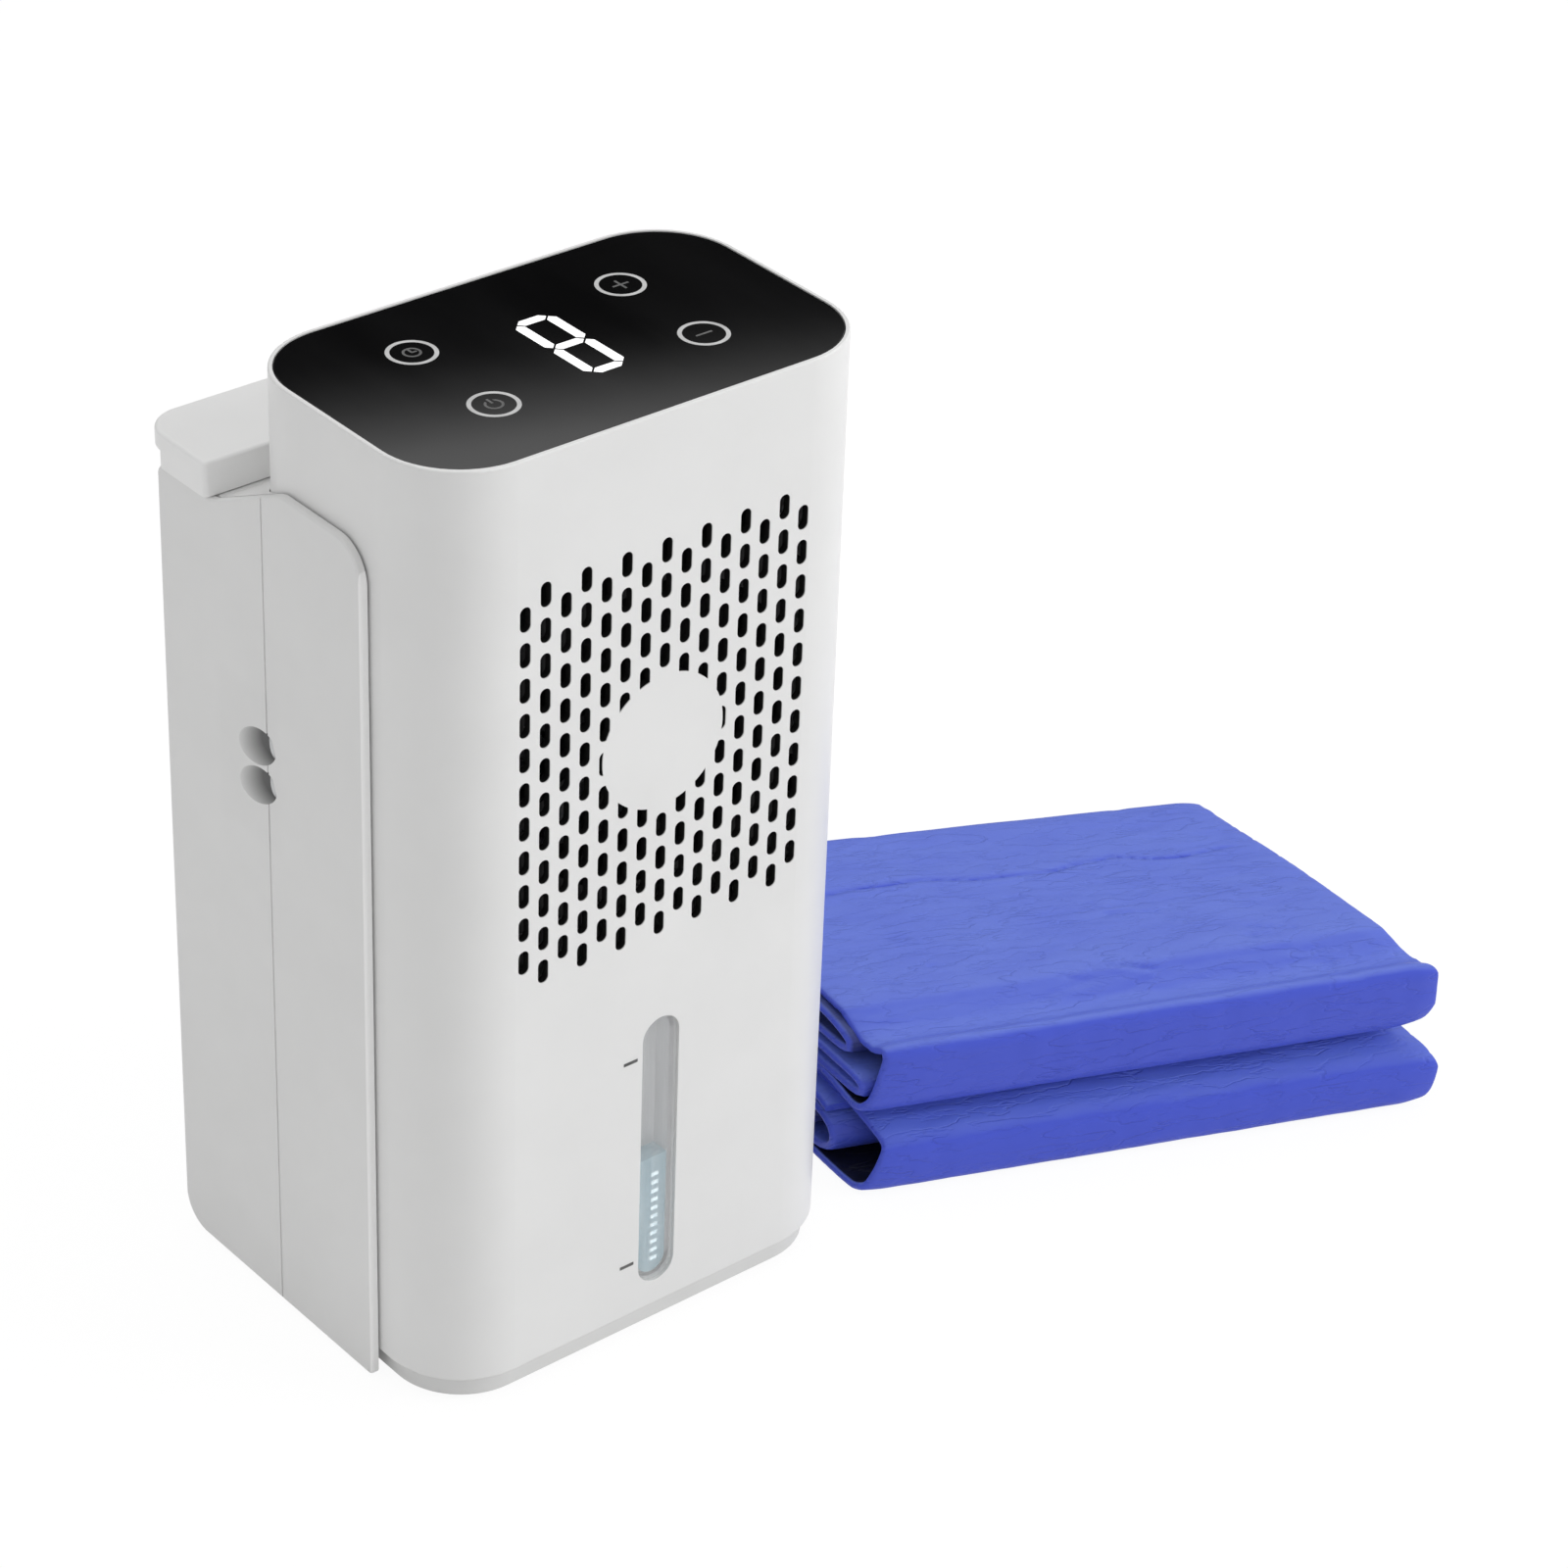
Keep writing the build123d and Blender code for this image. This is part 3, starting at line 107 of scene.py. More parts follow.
class Graph:
    """Adds nodes to one tree by short calls."""

    def __init__(self, tree: bpy.types.NodeTree) -> None:
        """Empties the tree and keeps it."""
        self.tree = tree
        tree.nodes.clear()

    def add(self, kind: str, inputs: dict | None = None, **settings: object) -> bpy.types.Node:
        """Adds a node.

        Args:
            kind: The node's type.
            inputs: Socket name or number to a value, or to an output socket that feeds it.
            settings: The node's own properties.

        Returns:
            The new node.
        """
        node = self.tree.nodes.new(kind)
        for name, value in settings.items():
            setattr(node, name, value)
        for name, value in (inputs or {}).items():
            if isinstance(value, Socket):
                self.tree.links.new(value, node.inputs[name])
            else:
                node.inputs[name].default_value = value
        return node

    def maths(self, operation: str, *values: object) -> Socket:
        """A Math node's result."""
        return self.add("ShaderNodeMath", dict(enumerate(values)), operation=operation).outputs[0]

    def place(self) -> Socket:
        """The point on the piece, in the object's own frame."""
        return self.add("ShaderNodeTexCoord").outputs["Object"]

    def cloth_place(self) -> Socket:
        """The point on the cloth's own surface, in metres along and across it."""
        return self.add("ShaderNodeUVMap", uv_map=CLOTH_MAP).outputs[0]

    def noise(self, place: Socket, size: float, detail: float = 2.0) -> Socket:
        """Cloudy noise from 0 to 1, with patches of about the given size."""
        inputs = {"Vector": place, "Scale": 1 / size, "Detail": detail}
        return self.add("ShaderNodeTexNoise", inputs).outputs["Fac"]

    def stretched(self, place: Socket, scale: Sequence[float]) -> Socket:
        """The same point with each axis multiplied."""
        return self.add("ShaderNodeMapping", {"Vector": place, "Scale": scale}).outputs[0]

    def spread(self, factor: Socket, low: float, high: float, start: float = 0.3,
               end: float = 0.7) -> Socket:
        """Turns the stretch of a factor between start and end into low to high."""
        inputs = {"Value": factor, "From Min": start, "From Max": end, "To Min": low, "To Max": high}
        return self.add("ShaderNodeMapRange", inputs).outputs[0]

    def blend(self, factor: object, first: object, second: object) -> Socket:
        """A colour between two colours or colour sockets."""
        ends = [value if isinstance(value, Socket) else rgba(value) for value in (first, second)]
        return self.add("ShaderNodeMix", {0: factor, 6: ends[0], 7: ends[1]}, data_type="RGBA").outputs[2]

    def bump(self, height: Socket, depth: float, strength: float = 1.0,
             under: Socket | None = None) -> Socket:
        """A normal for a height from 0 to 1 that is worth a real depth."""
        inputs = {"Height": height, "Distance": depth, "Strength": strength}
        if under is not None:
            inputs["Normal"] = under
        return self.add("ShaderNodeBump", inputs).outputs[0]


class Slot(Enum):
    """The record's material slots."""

    WHITE = "white_plastic"
    PLINTH = "plinth_plastic"
    GLASS = "black_glass"
    WHITE_PRINT = "white_print"
    GREY_PRINT = "grey_print"
    LENS = "clear_lens"
    CHAMBER = "chamber_grey"
    WATER = "water"
    RUBBER = "black_rubber"
    STEEL = "steel"
    BOARD = "circuit_board"
    BLACK = "black_plastic"
    ALUMINIUM = "aluminium"
    TANK = "tank_plastic"
    HOSE = "silicone_hose"
    CLOTH = "blue_cloth"


@dataclass(frozen=True)
class Finish:
    """What every finish has: its name and the record's material slot."""

    name: str
    slot: Slot

    def material(self) -> bpy.types.Material:
        """Makes the material, or gives the one made before.

        Returns:
            The Blender material.
        """
        made = bpy.data.materials.get(self.name)
        if made is not None:
            return made
        made = bpy.data.materials.new(self.name)
        made.use_nodes = True
        graph = Graph(made.node_tree)
        inputs = {name.replace("_", " ").title().replace("Ior", "IOR"): value
                  for name, value in self.paint(graph).items()}
        shader = graph.add("ShaderNodeBsdfPrincipled", inputs)
        graph.add("ShaderNodeOutputMaterial", {"Surface": shader.outputs[0]})
        return made

    def paint(self, graph: Graph) -> Inputs:
        """Adds the finish's nodes and gives the shader's sockets by name, with an underscore for each space."""
        raise NotImplementedError


@dataclass(frozen=True)
class Zone:
    """A box of the part's frame in which a piece has another colour, such as painted shade in its slots or a painted
    highlight on an edge.
    """

    low: tuple[float, float, float]
    high: tuple[float, float, float]
    colour: Colour
    edge: float = 0.15 * MM

    def share(self, graph: Graph, place: Socket) -> Socket:
        """How far a point is inside the box.

        Args:
            graph: The material's nodes.
            place: The point.

        Returns:
            1 inside the box and 0 outside it, with a soft edge.
        """
        axes = graph.add("ShaderNodeSeparateXYZ", {0: place}).outputs
        sides = []
        for axis, low, high in zip(axes, self.low, self.high):
            sides.append(graph.spread(axis, 0, 1, low, low + self.edge))
            sides.append(graph.spread(axis, 1, 0, high - self.edge, high))
        return reduce(lambda first, second: graph.maths("MULTIPLY", first, second), sides)


@dataclass(frozen=True)
class MouldedPlastic(Finish):
    """Injection-moulded plastic with a fine spark texture, a faint flow mottle, and painted shade or highlight in
    its zones.
    """

    colour: Colour = (0.8, 0.8, 0.8)
    roughness: float = 0.42
    grain: float = 0.35 * MM
    grain_depth: float = 0.012 * MM
    mottle: float = 0.03
    painted_light_zones: tuple[Zone, ...] = ()

    def paint(self, graph: Graph) -> Inputs:
        """Colour that drifts a little with painted shade and highlight in its zones, satin gloss and a fine pimpled
        surface.
        """
        place = graph.place()
        cloud = graph.noise(place, 30 * MM, 3)
        darker = toned(self.colour, 1 - self.mottle)
        fine = graph.noise(place, self.grain, 2)
        waves = graph.noise(place, 9 * MM, 1)
        normal = graph.bump(waves, 0.02 * MM, 0.5)
        colour = graph.blend(graph.spread(cloud, 0, 1), darker, self.colour)
        # painted shade and painted highlight, one box at a time
        for zone in self.painted_light_zones:
            colour = graph.blend(zone.share(graph, place), colour, zone.colour)
        satin = graph.spread(graph.noise(place, 6 * MM, 4), self.roughness - 0.04, self.roughness + 0.05)
        return dict(base_color=colour, roughness=satin, normal=graph.bump(fine, self.grain_depth, 0.6, normal))


@dataclass(frozen=True)
class CoatedGlass(Finish):
    """Glass that is printed black from behind, with a few wipe marks in its gloss."""

    colour: Colour = (0.003, 0.003, 0.0032)
    roughness: float = 0.03

    def paint(self, graph: Graph) -> Inputs:
        """Deep black under a clear, slightly wiped surface."""
        place = graph.place()
        wiped = graph.noise(graph.stretched(place, (40, 9, 40)), 1.0, 4)
        greyer = toned(self.colour, 1.8)
        return dict(base_color=graph.blend(graph.spread(wiped, 0, 1), self.colour, greyer),
                    roughness=graph.spread(wiped, self.roughness, self.roughness + 0.02), IOR=1.5,
                    normal=graph.bump(graph.noise(place, 25 * MM, 1), 0.01 * MM, 0.4))


@dataclass(frozen=True)
class Print(Finish):
    """A printed or back-lit mark in the glass."""

    colour: Colour = (0.8, 0.8, 0.8)
    glow: float = 0.0
    unevenness: float = 0.25

    def paint(self, graph: Graph) -> Inputs:
        """A fine halftone grain, and light that is uneven along the mark."""
        place = graph.place()
        patch = graph.spread(graph.noise(place, 5 * MM, 2), 1 - self.unevenness, 1.0)
        dots = graph.spread(graph.noise(place, 0.25 * MM, 1), 0.9, 1.0)
        shade = graph.maths("MULTIPLY", patch, dots)
        tint = graph.blend(shade, toned(self.colour, 0.05), self.colour)
        light = dict(emission_color=tint, emission_strength=self.glow) if self.glow else {}
        return dict(base_color=tint, roughness=graph.spread(dots, 0.3, 0.36, 0.9, 1.0), **light)


@dataclass(frozen=True)
class ClearMoulding(Finish):
    """A see-through part: the window's lens, or the water behind it."""

    colour: Colour = (0.9, 0.92, 0.93)
    cover: float = 0.2
    roughness: float = 0.08
    streak: float = 0.05

    def paint(self, graph: Graph) -> Inputs:
        """A thin tint that is a little denser in streaks along its height."""
        place = graph.place()
        streaks = graph.noise(graph.stretched(place, (900, 900, 40)), 1.0, 3)
        cover = graph.spread(streaks, self.cover - self.streak, self.cover + self.streak)
        pale = tuple(min(1.0, channel * 1.06) for channel in self.colour)
        return dict(base_color=graph.blend(streaks, self.colour, pale), alpha=cover,
                    roughness=graph.spread(streaks, self.roughness, self.roughness + 0.05), IOR=1.45)


@dataclass(frozen=True)
class Rubber(Finish):
    """Soft rubber or silicone with a dull, slightly dusty skin."""

    colour: Colour = (0.03, 0.03, 0.03)
    roughness: float = 0.7

    def paint(self, graph: Graph) -> Inputs:
        """Dust in patches over a fine orange-peel surface."""
        place = graph.place()
        dust = graph.spread(graph.noise(place, 7 * MM, 5), 0, 1, 0.45, 0.75)
        dusty = toned(self.colour, 0.85, 0.03)
        return dict(base_color=graph.blend(dust, self.colour, dusty),
                    roughness=graph.spread(dust, self.roughness - 0.05, self.roughness + 0.08, 0, 1),
                    normal=graph.bump(graph.noise(place, 0.5 * MM, 2), 0.02 * MM, 0.6))


@dataclass(frozen=True)
class DrawnMetal(Finish):
    """Rolled or turned metal with fine lines along one axis."""

    colour: Colour = (0.62, 0.62, 0.63)
    roughness: float = 0.32
    lines: tuple[float, float, float] = (1500.0, 1500.0, 60.0)

    def paint(self, graph: Graph) -> Inputs:
        """Fine drawn lines in the gloss and the surface, over a metal that dulls in spots."""
        place = graph.place()
        lines = graph.noise(graph.stretched(place, self.lines), 1.0, 3)
        spots = graph.noise(place, 3 * MM, 4)
        dull = toned(self.colour, 0.8)
        return dict(base_color=graph.blend(graph.spread(spots, 0, 1), dull, self.colour), metallic=1.0,
                    roughness=graph.spread(lines, self.roughness - 0.08, self.roughness + 0.1),
                    normal=graph.bump(lines, 0.004 * MM, 0.5))


@dataclass(frozen=True)
class CircuitLaminate(Finish):
    """Solder-masked board with its copper tracks showing as a faint relief."""

    mask: Colour = (0.02, 0.16, 0.07)
    track: Colour = (0.05, 0.28, 0.12)

    def paint(self, graph: Graph) -> Inputs:
        """Angular tracks from a cell pattern under a glossy mask."""
        place = graph.place()
        cells = graph.add("ShaderNodeTexVoronoi", {"Vector": place, "Scale": 160.0}, distance="CHEBYCHEV",
                          feature="DISTANCE_TO_EDGE").outputs["Distance"]
        track = graph.spread(cells, 1, 0, 0.04, 0.07)
        return dict(base_color=graph.blend(track, self.mask, self.track),
                    roughness=graph.spread(track, 0.34, 0.28, 0, 1), normal=graph.bump(track, 0.03 * MM, 0.6))


@dataclass(frozen=True)
class CoatedNylon(Finish):
    """Tight nylon with a soft coating, as the water pad is made of."""

    # painted light: flat is the lighter colour of faces that point up, flank the darker painted shade of the sides
    flat: Colour = (0.125, 0.19, 0.69)
    flank: Colour = (0.052, 0.087, 0.61)
    # painted shade: the near black of the cloth deep between the layers
    painted_shade: Colour = (0.004, 0.005, 0.02)
    thread: float = 0.42 * MM
    roughness: float = 0.46

    def paint(self, graph: Graph) -> Inputs:
        """A weave that follows the cloth, crinkles in its coating, painted light on faces that point up and painted
        shade between layers.
        """
        place = graph.cloth_place()
        threads = {"Vector": place, "Scale": 1 / (self.thread * tau) * 2, "Distortion": 0.15, "Detail": 1.0}
        warp, weft = (graph.add("ShaderNodeTexWave", threads, bands_direction=axis).outputs["Fac"]
                      for axis in ("X", "Y"))
        weave = graph.maths("MAXIMUM", warp, weft)
        cloud = graph.noise(graph.stretched(place, (1, 2.2, 1)), 24 * MM, 4)
        folds = graph.noise(graph.stretched(place, (1, 3.2, 1)), 17 * MM, 3)
        ridged = graph.maths("ABSOLUTE", graph.maths("SUBTRACT", folds, 0.5))
        patches = graph.noise(graph.stretched(place, (1, 1.6, 1)), 21 * MM, 2)
        crinkle = graph.maths("MULTIPLY", graph.spread(ridged, 0, 1, 0.0, 0.035),
                              graph.spread(patches, 0.35, 1, 0.42, 0.62))
        # painted light: the cloth is lighter where its faces point up and darker on its sides
        facing = graph.add("ShaderNodeTexCoord").outputs["Normal"]
        upright = graph.add("ShaderNodeSeparateXYZ", {0: facing}).outputs[2]
        tint = graph.blend(graph.spread(upright, 0, 1, 0.6, 0.99), self.flank, self.flat)
        mottled = graph.blend(graph.spread(cloud, 0.16, 0, 0.35, 0.65), tint, self.flank)
        # painted shade deep between the layers, read from the mesh's attribute
        depth = graph.add("ShaderNodeAttribute", attribute_name=PAINTED_SHADE_ATTRIBUTE).outputs["Fac"]
        soft = graph.bump(crinkle, 0.45 * MM, 0.55)
        return dict(base_color=graph.blend(depth, mottled, self.painted_shade),
                    roughness=graph.spread(weave, self.roughness - 0.05, self.roughness + 0.07, 0, 1),
                    sheen_weight=0.06, sheen_roughness=0.4, sheen_tint=rgba((0.6, 0.66, 1.0)),
                    normal=graph.bump(weave, 0.03 * MM, 0.35, soft))


# painted shade: the slot walls behind the front grille are coloured near black
SLOT_PAINTED_SHADE = Zone(mm(-138.7, -36.8, 130), mm(-41.7, -8, 257), (0.012, 0.012, 0.012))
# painted highlight: the side cover's front lip is coloured almost pure white
COVER_LIP_PAINTED_HIGHLIGHT = Zone(mm(-200, -9, 0), mm(20, -7.3, 290), (0.97, 0.97, 0.965))
# painted shade: the hose troughs get darker the deeper they go into the cover
TROUGH_PAINTED_SHADE = Zone(mm(-164.7, 28, 150), mm(-130, 60, 200), (0.17, 0.17, 0.17), 4.0 * MM)
# painted highlight: the raised rims round the hose troughs are coloured almost pure white
TROUGH_RIM_PAINTED_HIGHLIGHT = Zone(mm(-175, 25, 150), mm(-164.72, 52, 200), (0.97, 0.97, 0.965), 0.1 * MM)
SHELL = MouldedPlastic("shell_white", Slot.WHITE, (0.82, 0.82, 0.815), 0.4, painted_light_zones=(SLOT_PAINTED_SHADE,))
HOUSING = MouldedPlastic("housing_white", Slot.WHITE, (0.79, 0.79, 0.785), 0.45)
COVER = MouldedPlastic("cover_white", Slot.WHITE, (0.79, 0.79, 0.785), 0.48, grain_depth=0.018 * MM,
                       painted_light_zones=(COVER_LIP_PAINTED_HIGHLIGHT, TROUGH_PAINTED_SHADE, TROUGH_RIM_PAINTED_HIGHLIGHT))
# painted light: the lid is a lighter copy of the same white plastic, standing in for light on the lid
LID_PAINTED_LIGHT = MouldedPlastic("lid_white_painted_light", Slot.WHITE, (0.9, 0.9, 0.895), 0.4)
PLINTH = MouldedPlastic("plinth_grey", Slot.PLINTH, (0.74, 0.74, 0.735), 0.5)
CHAMBER = MouldedPlastic("chamber_grey", Slot.CHAMBER, (0.8, 0.8, 0.8), 0.4, mottle=0.06)
TANK = MouldedPlastic("tank_natural", Slot.TANK, (0.72, 0.73, 0.74), 0.35, mottle=0.06)
BLACK = MouldedPlastic("fan_black", Slot.BLACK, (0.018, 0.018, 0.019), 0.5, mottle=0.3)
GLASS = CoatedGlass("panel_glass", Slot.GLASS)
RING = Print("ring_print", Slot.WHITE_PRINT, (0.6, 0.6, 0.6), 0.12, 0.2)
DIGIT = Print("digit_light", Slot.WHITE_PRINT, (0.95, 0.95, 0.95), 0.9, 0.35)
# painted light: the moulded level marks glow, though nothing lights them from inside
MARK_PAINTED_GLOW = Print("mark_painted_glow", Slot.WHITE_PRINT, (0.95, 0.95, 0.95), 1.0, 0.2)
ICON = Print("icon_print", Slot.GREY_PRINT, (0.16, 0.16, 0.16), 0.0, 0.4)
TICK = Print("tick_print", Slot.GREY_PRINT, (0.12, 0.12, 0.12), 0.0, 0.5)
LENS = ClearMoulding("window_clear", Slot.LENS)
WATER = ClearMoulding("tinted_water", Slot.WATER, (0.42, 0.66, 0.76), 0.55, 0.05, 0.08)
RUBBER = Rubber("rubber_black", Slot.RUBBER)
SILICONE = Rubber("silicone_pale", Slot.HOSE, (0.68, 0.69, 0.69), 0.5)
STEEL = DrawnMetal("screw_steel", Slot.STEEL)
ALUMINIUM = DrawnMetal("radiator_aluminium", Slot.ALUMINIUM, (0.7, 0.7, 0.72), 0.38)
BOARD = CircuitLaminate("board_green", Slot.BOARD)
NYLON = CoatedNylon("coated_nylon", Slot.CLOTH)

NODE_FINISHES: tuple[tuple[Finish, str], ...] = (
    (SHELL, "front_shell"), (HOUSING, "rear_housing"), (COVER, "side_cover_left side_cover_right"),
    (LID_PAINTED_LIGHT, "filler_lid"), (PLINTH, "base_plinth"), (GLASS, "glass_panel"), (RING, "key_rings"), (ICON, "key_icons"),
    (DIGIT, "display_digit"), (TICK, "level_ticks"), (LENS, "window_lens"), (WATER, "water_column"),
    (CHAMBER, "sight_chamber panel_carrier"),
    (RUBBER, "rubber_feet tank_gasket tank_grommets lid_seal port_gaskets"),
    (STEEL, "base_screws housing_screws panel_screws fan_screws board_screws touch_springs fan_axle pump_shaft "
            "lid_hinge_pins"),
    (ALUMINIUM, "radiator_top_header radiator_bottom_header radiator_tubes radiator_fins radiator_brackets"),
    (BLACK, "fan_frame fan_impeller digit_module pump_motor dc_inlet"),
    (TANK, "pump_body pump_cover pump_impeller outlet_port return_port water_tank tank_cover filler_chute"),
    (SILICONE, "sight_tube pump_hose outlet_hose return_hose"),
    (BOARD, "display_board control_board"))


def dress(obj: bpy.types.Object, finish: Finish) -> None:
    """Gives an object one finish in place of whatever it had."""
    obj.data.materials.clear()
    obj.data.materials.append(finish.material())


def new_object(name: str, mesh: bpy.types.Mesh) -> bpy.types.Object:
    """A new object in the scene, at the origin."""
    obj = bpy.data.objects.new(name, mesh)
    bpy.context.scene.collection.objects.link(obj)
    return obj


class NodeMaker:
    """Makes a mesh with one Geometry Nodes tree that is built here."""

    def __init__(self, name: str, finish: Finish, **sizes: float) -> None:
        """Starts a tree with a named input for each size.

        Args:
            name: Name of the tree and of the object that it makes.
            finish: The finish that the tree sets at its end.
            sizes: The named inputs and their values.
        """
        self.name, self.finish, self.sizes = name, finish, sizes
        self.tree = bpy.data.node_groups.new(name, "GeometryNodeTree")
        self.graph = Graph(self.tree)
        self.keys = {}
        for label, value in sizes.items():
            kind = "NodeSocketInt" if isinstance(value, int) else "NodeSocketFloat"
            self.keys[label] = self.tree.interface.new_socket(label, in_out="INPUT", socket_type=kind).identifier
        self.tree.interface.new_socket("Geometry", in_out="OUTPUT", socket_type="NodeSocketGeometry")
        self.inputs = self.graph.add("NodeGroupInput").outputs

    def make(self, shape: Socket) -> bpy.types.Object:
        """Ends the tree and turns its result into a plain mesh object.

        Args:
            shape: The geometry to end with.

        Returns:
            The new object, with no modifier left on it.
        """
        real = self.graph.add("GeometryNodeRealizeInstances", {0: shape})
        dressed = self.graph.add("GeometryNodeSetMaterial", {0: real.outputs[0], "Material": self.finish.material()})
        self.graph.add("NodeGroupOutput", {0: dressed.outputs[0]})
        obj = new_object(self.name, bpy.data.meshes.new(self.name))
        modifier = obj.modifiers.new(self.name, "NODES")
        modifier.node_group = self.tree
        for label, value in self.sizes.items():
            modifier[self.keys[label]] = value
        graph = bpy.context.evaluated_depsgraph_get()
        obj.data = bpy.data.meshes.new_from_object(obj.evaluated_get(graph))
        obj.modifiers.clear()
        obj.data.name = self.name
        return obj


@dataclass
class HostUnit:
    """The white circulator: finishes for its CAD parts and the fine ladder of marks in its window."""

    nodes: dict[str, bpy.types.Object]
    mark_pitch: float = 2.9 * MM
    mark_length: float = 2.3 * MM
    mark_height: float = 1.1 * MM
    mark_depth: float = 0.3 * MM
    mark_side: float = 1.0 * MM
    mark_start: float = 4 * MM
    mark_room: float = 5 * MM
    mark_inset: float = 0.1 * MM

    def dress(self) -> None:
        """Gives each CAD part its own finish."""
        for finish, names in NODE_FINISHES:
            for name in names.split():
                dress(self.nodes[name], finish)
            log.info("%s: %s", finish.name, names)

    def level_marks(self) -> bpy.types.Object:
        """A ladder of short raised bars just inside the water's front, which stands for the moulded scale and glows
        with painted light.

        Returns:
            The bars as one object.
        """
        low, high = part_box("water_column")
        count = int((high.z - low.z - self.mark_room) / self.mark_pitch)
        maker = NodeMaker("level_marks", MARK_PAINTED_GLOW, Count=count, Pitch=self.mark_pitch, Length=self.mark_length,
                          Height=self.mark_height, Depth=self.mark_depth)
        graph, sizes = maker.graph, maker.inputs
        size = graph.add("ShaderNodeCombineXYZ", {0: sizes["Length"], 1: sizes["Depth"], 2: sizes["Height"]})
        bar = graph.add("GeometryNodeMeshCube", {"Size": size.outputs[0]})
        step = graph.add("ShaderNodeCombineXYZ", {2: sizes["Pitch"]})
        start = ((low.x + high.x) / 2 + self.mark_side, low.y + self.mark_inset + self.mark_depth / 2,
                 low.z + self.mark_start)
        line = graph.add("GeometryNodeMeshLine", {"Count": sizes["Count"], "Start Location": start,
                                                  "Offset": step.outputs[0]}, mode="OFFSET")
        bars = graph.add("GeometryNodeInstanceOnPoints", {"Points": line.outputs[0], "Instance": bar.outputs[0]})
        marks = maker.make(bars.outputs[0])
        log.info("level marks: %d bars", count)
        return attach(marks, "unit")


@dataclass(frozen=True)
class Crease:
    """A fold line in the top sheet: a narrow valley with a soft lip on its near side."""

    course: tuple[tuple[float, float], ...]
    depth: float = 0.6 * MM
    width: float = 0.95 * MM
    fade: float = 3.0 * MM

    def height(self, along: np.ndarray, across: np.ndarray) -> np.ndarray:
        """How far the crease moves the cloth at each point.

        Args:
            along: Distance from the pack's left end.
            across: Distance back from the pack's front.

        Returns:
            The height above the plain sheet.
        """
        places, backs = np.array(self.course).T * MM
        wander = 0.5 * MM * np.sin(along / (9 * MM)) + 0.3 * MM * np.sin(along / (3.7 * MM) + 1.0)
        off = (across - np.interp(along, places, backs) - wander) / self.width
        shown = np.clip((along - places[0]) / self.fade, 0, 1) * np.clip((places[-1] - along) / self.fade, 0, 1)
        return shown * self.depth * (0.6 * np.exp(-(off + 1.7) ** 2) - np.exp(-off ** 2))


def unit(vectors: np.ndarray) -> np.ndarray:
    """The vectors in the last axis, each made one long."""
    return vectors / np.linalg.norm(vectors, axis=-1, keepdims=True)


def run_length(points: np.ndarray) -> np.ndarray:
    """The distance along a line of points, from 0 at the first."""
    return np.concatenate([[0], np.cumsum(np.linalg.norm(np.diff(points, axis=0), axis=1))])


def noise_at(points: np.ndarray, along: float, back: float, up: float, seed: float) -> np.ndarray:
    """Smooth noise from -1 to 1 at points, for a scale along the pack, back and up."""
    return np.array([noise.noise((x * along, y * back + z * up, seed)) for x, y, z in points])


SPAN_STEPS = 24      # samples between two points of a smooth curve


def smooth_loop(points: Sequence[tuple[float, float]], count: int, closed: bool) -> np.ndarray:
    """A smooth curve through points, as evenly spaced samples.

    Args:
        points: The points to pass through.
        count: How many samples to give.
        closed: Whether the curve returns to its start.

    Returns:
        An array of count rows.
    """
    given = np.array(points, float)
    if closed:
        ring = np.vstack([given[-1:], given, given[:2]])
    else:
        ring = np.vstack([2 * given[:1] - given[1:2], given, 2 * given[-1:] - given[-2:-1]])
    steps = np.linspace(0, 1, SPAN_STEPS, endpoint=False)[:, None]
    spans = []
    for first, second, third, fourth in zip(ring[:-3], ring[1:-2], ring[2:-1], ring[3:]):
        spans.append(0.5 * (2 * second + (third - first) * steps
                            + (2 * first - 5 * second + 4 * third - fourth) * steps ** 2
                            + (3 * second - first - 3 * third + fourth) * steps ** 3))
    dense = np.vstack(spans + [given[:1] if closed else given[-1:]])
    run = run_length(dense)
    wanted = np.linspace(0, run[-1], count + 1)[:-1] if closed else np.linspace(0, run[-1], count)
    return np.stack([np.interp(wanted, run, dense[:, axis]) for axis in (0, 1)], axis=1)


def heading(angle: float) -> np.ndarray:
    """The level direction at an angle from X."""
    return np.array([cos(angle), sin(angle)])


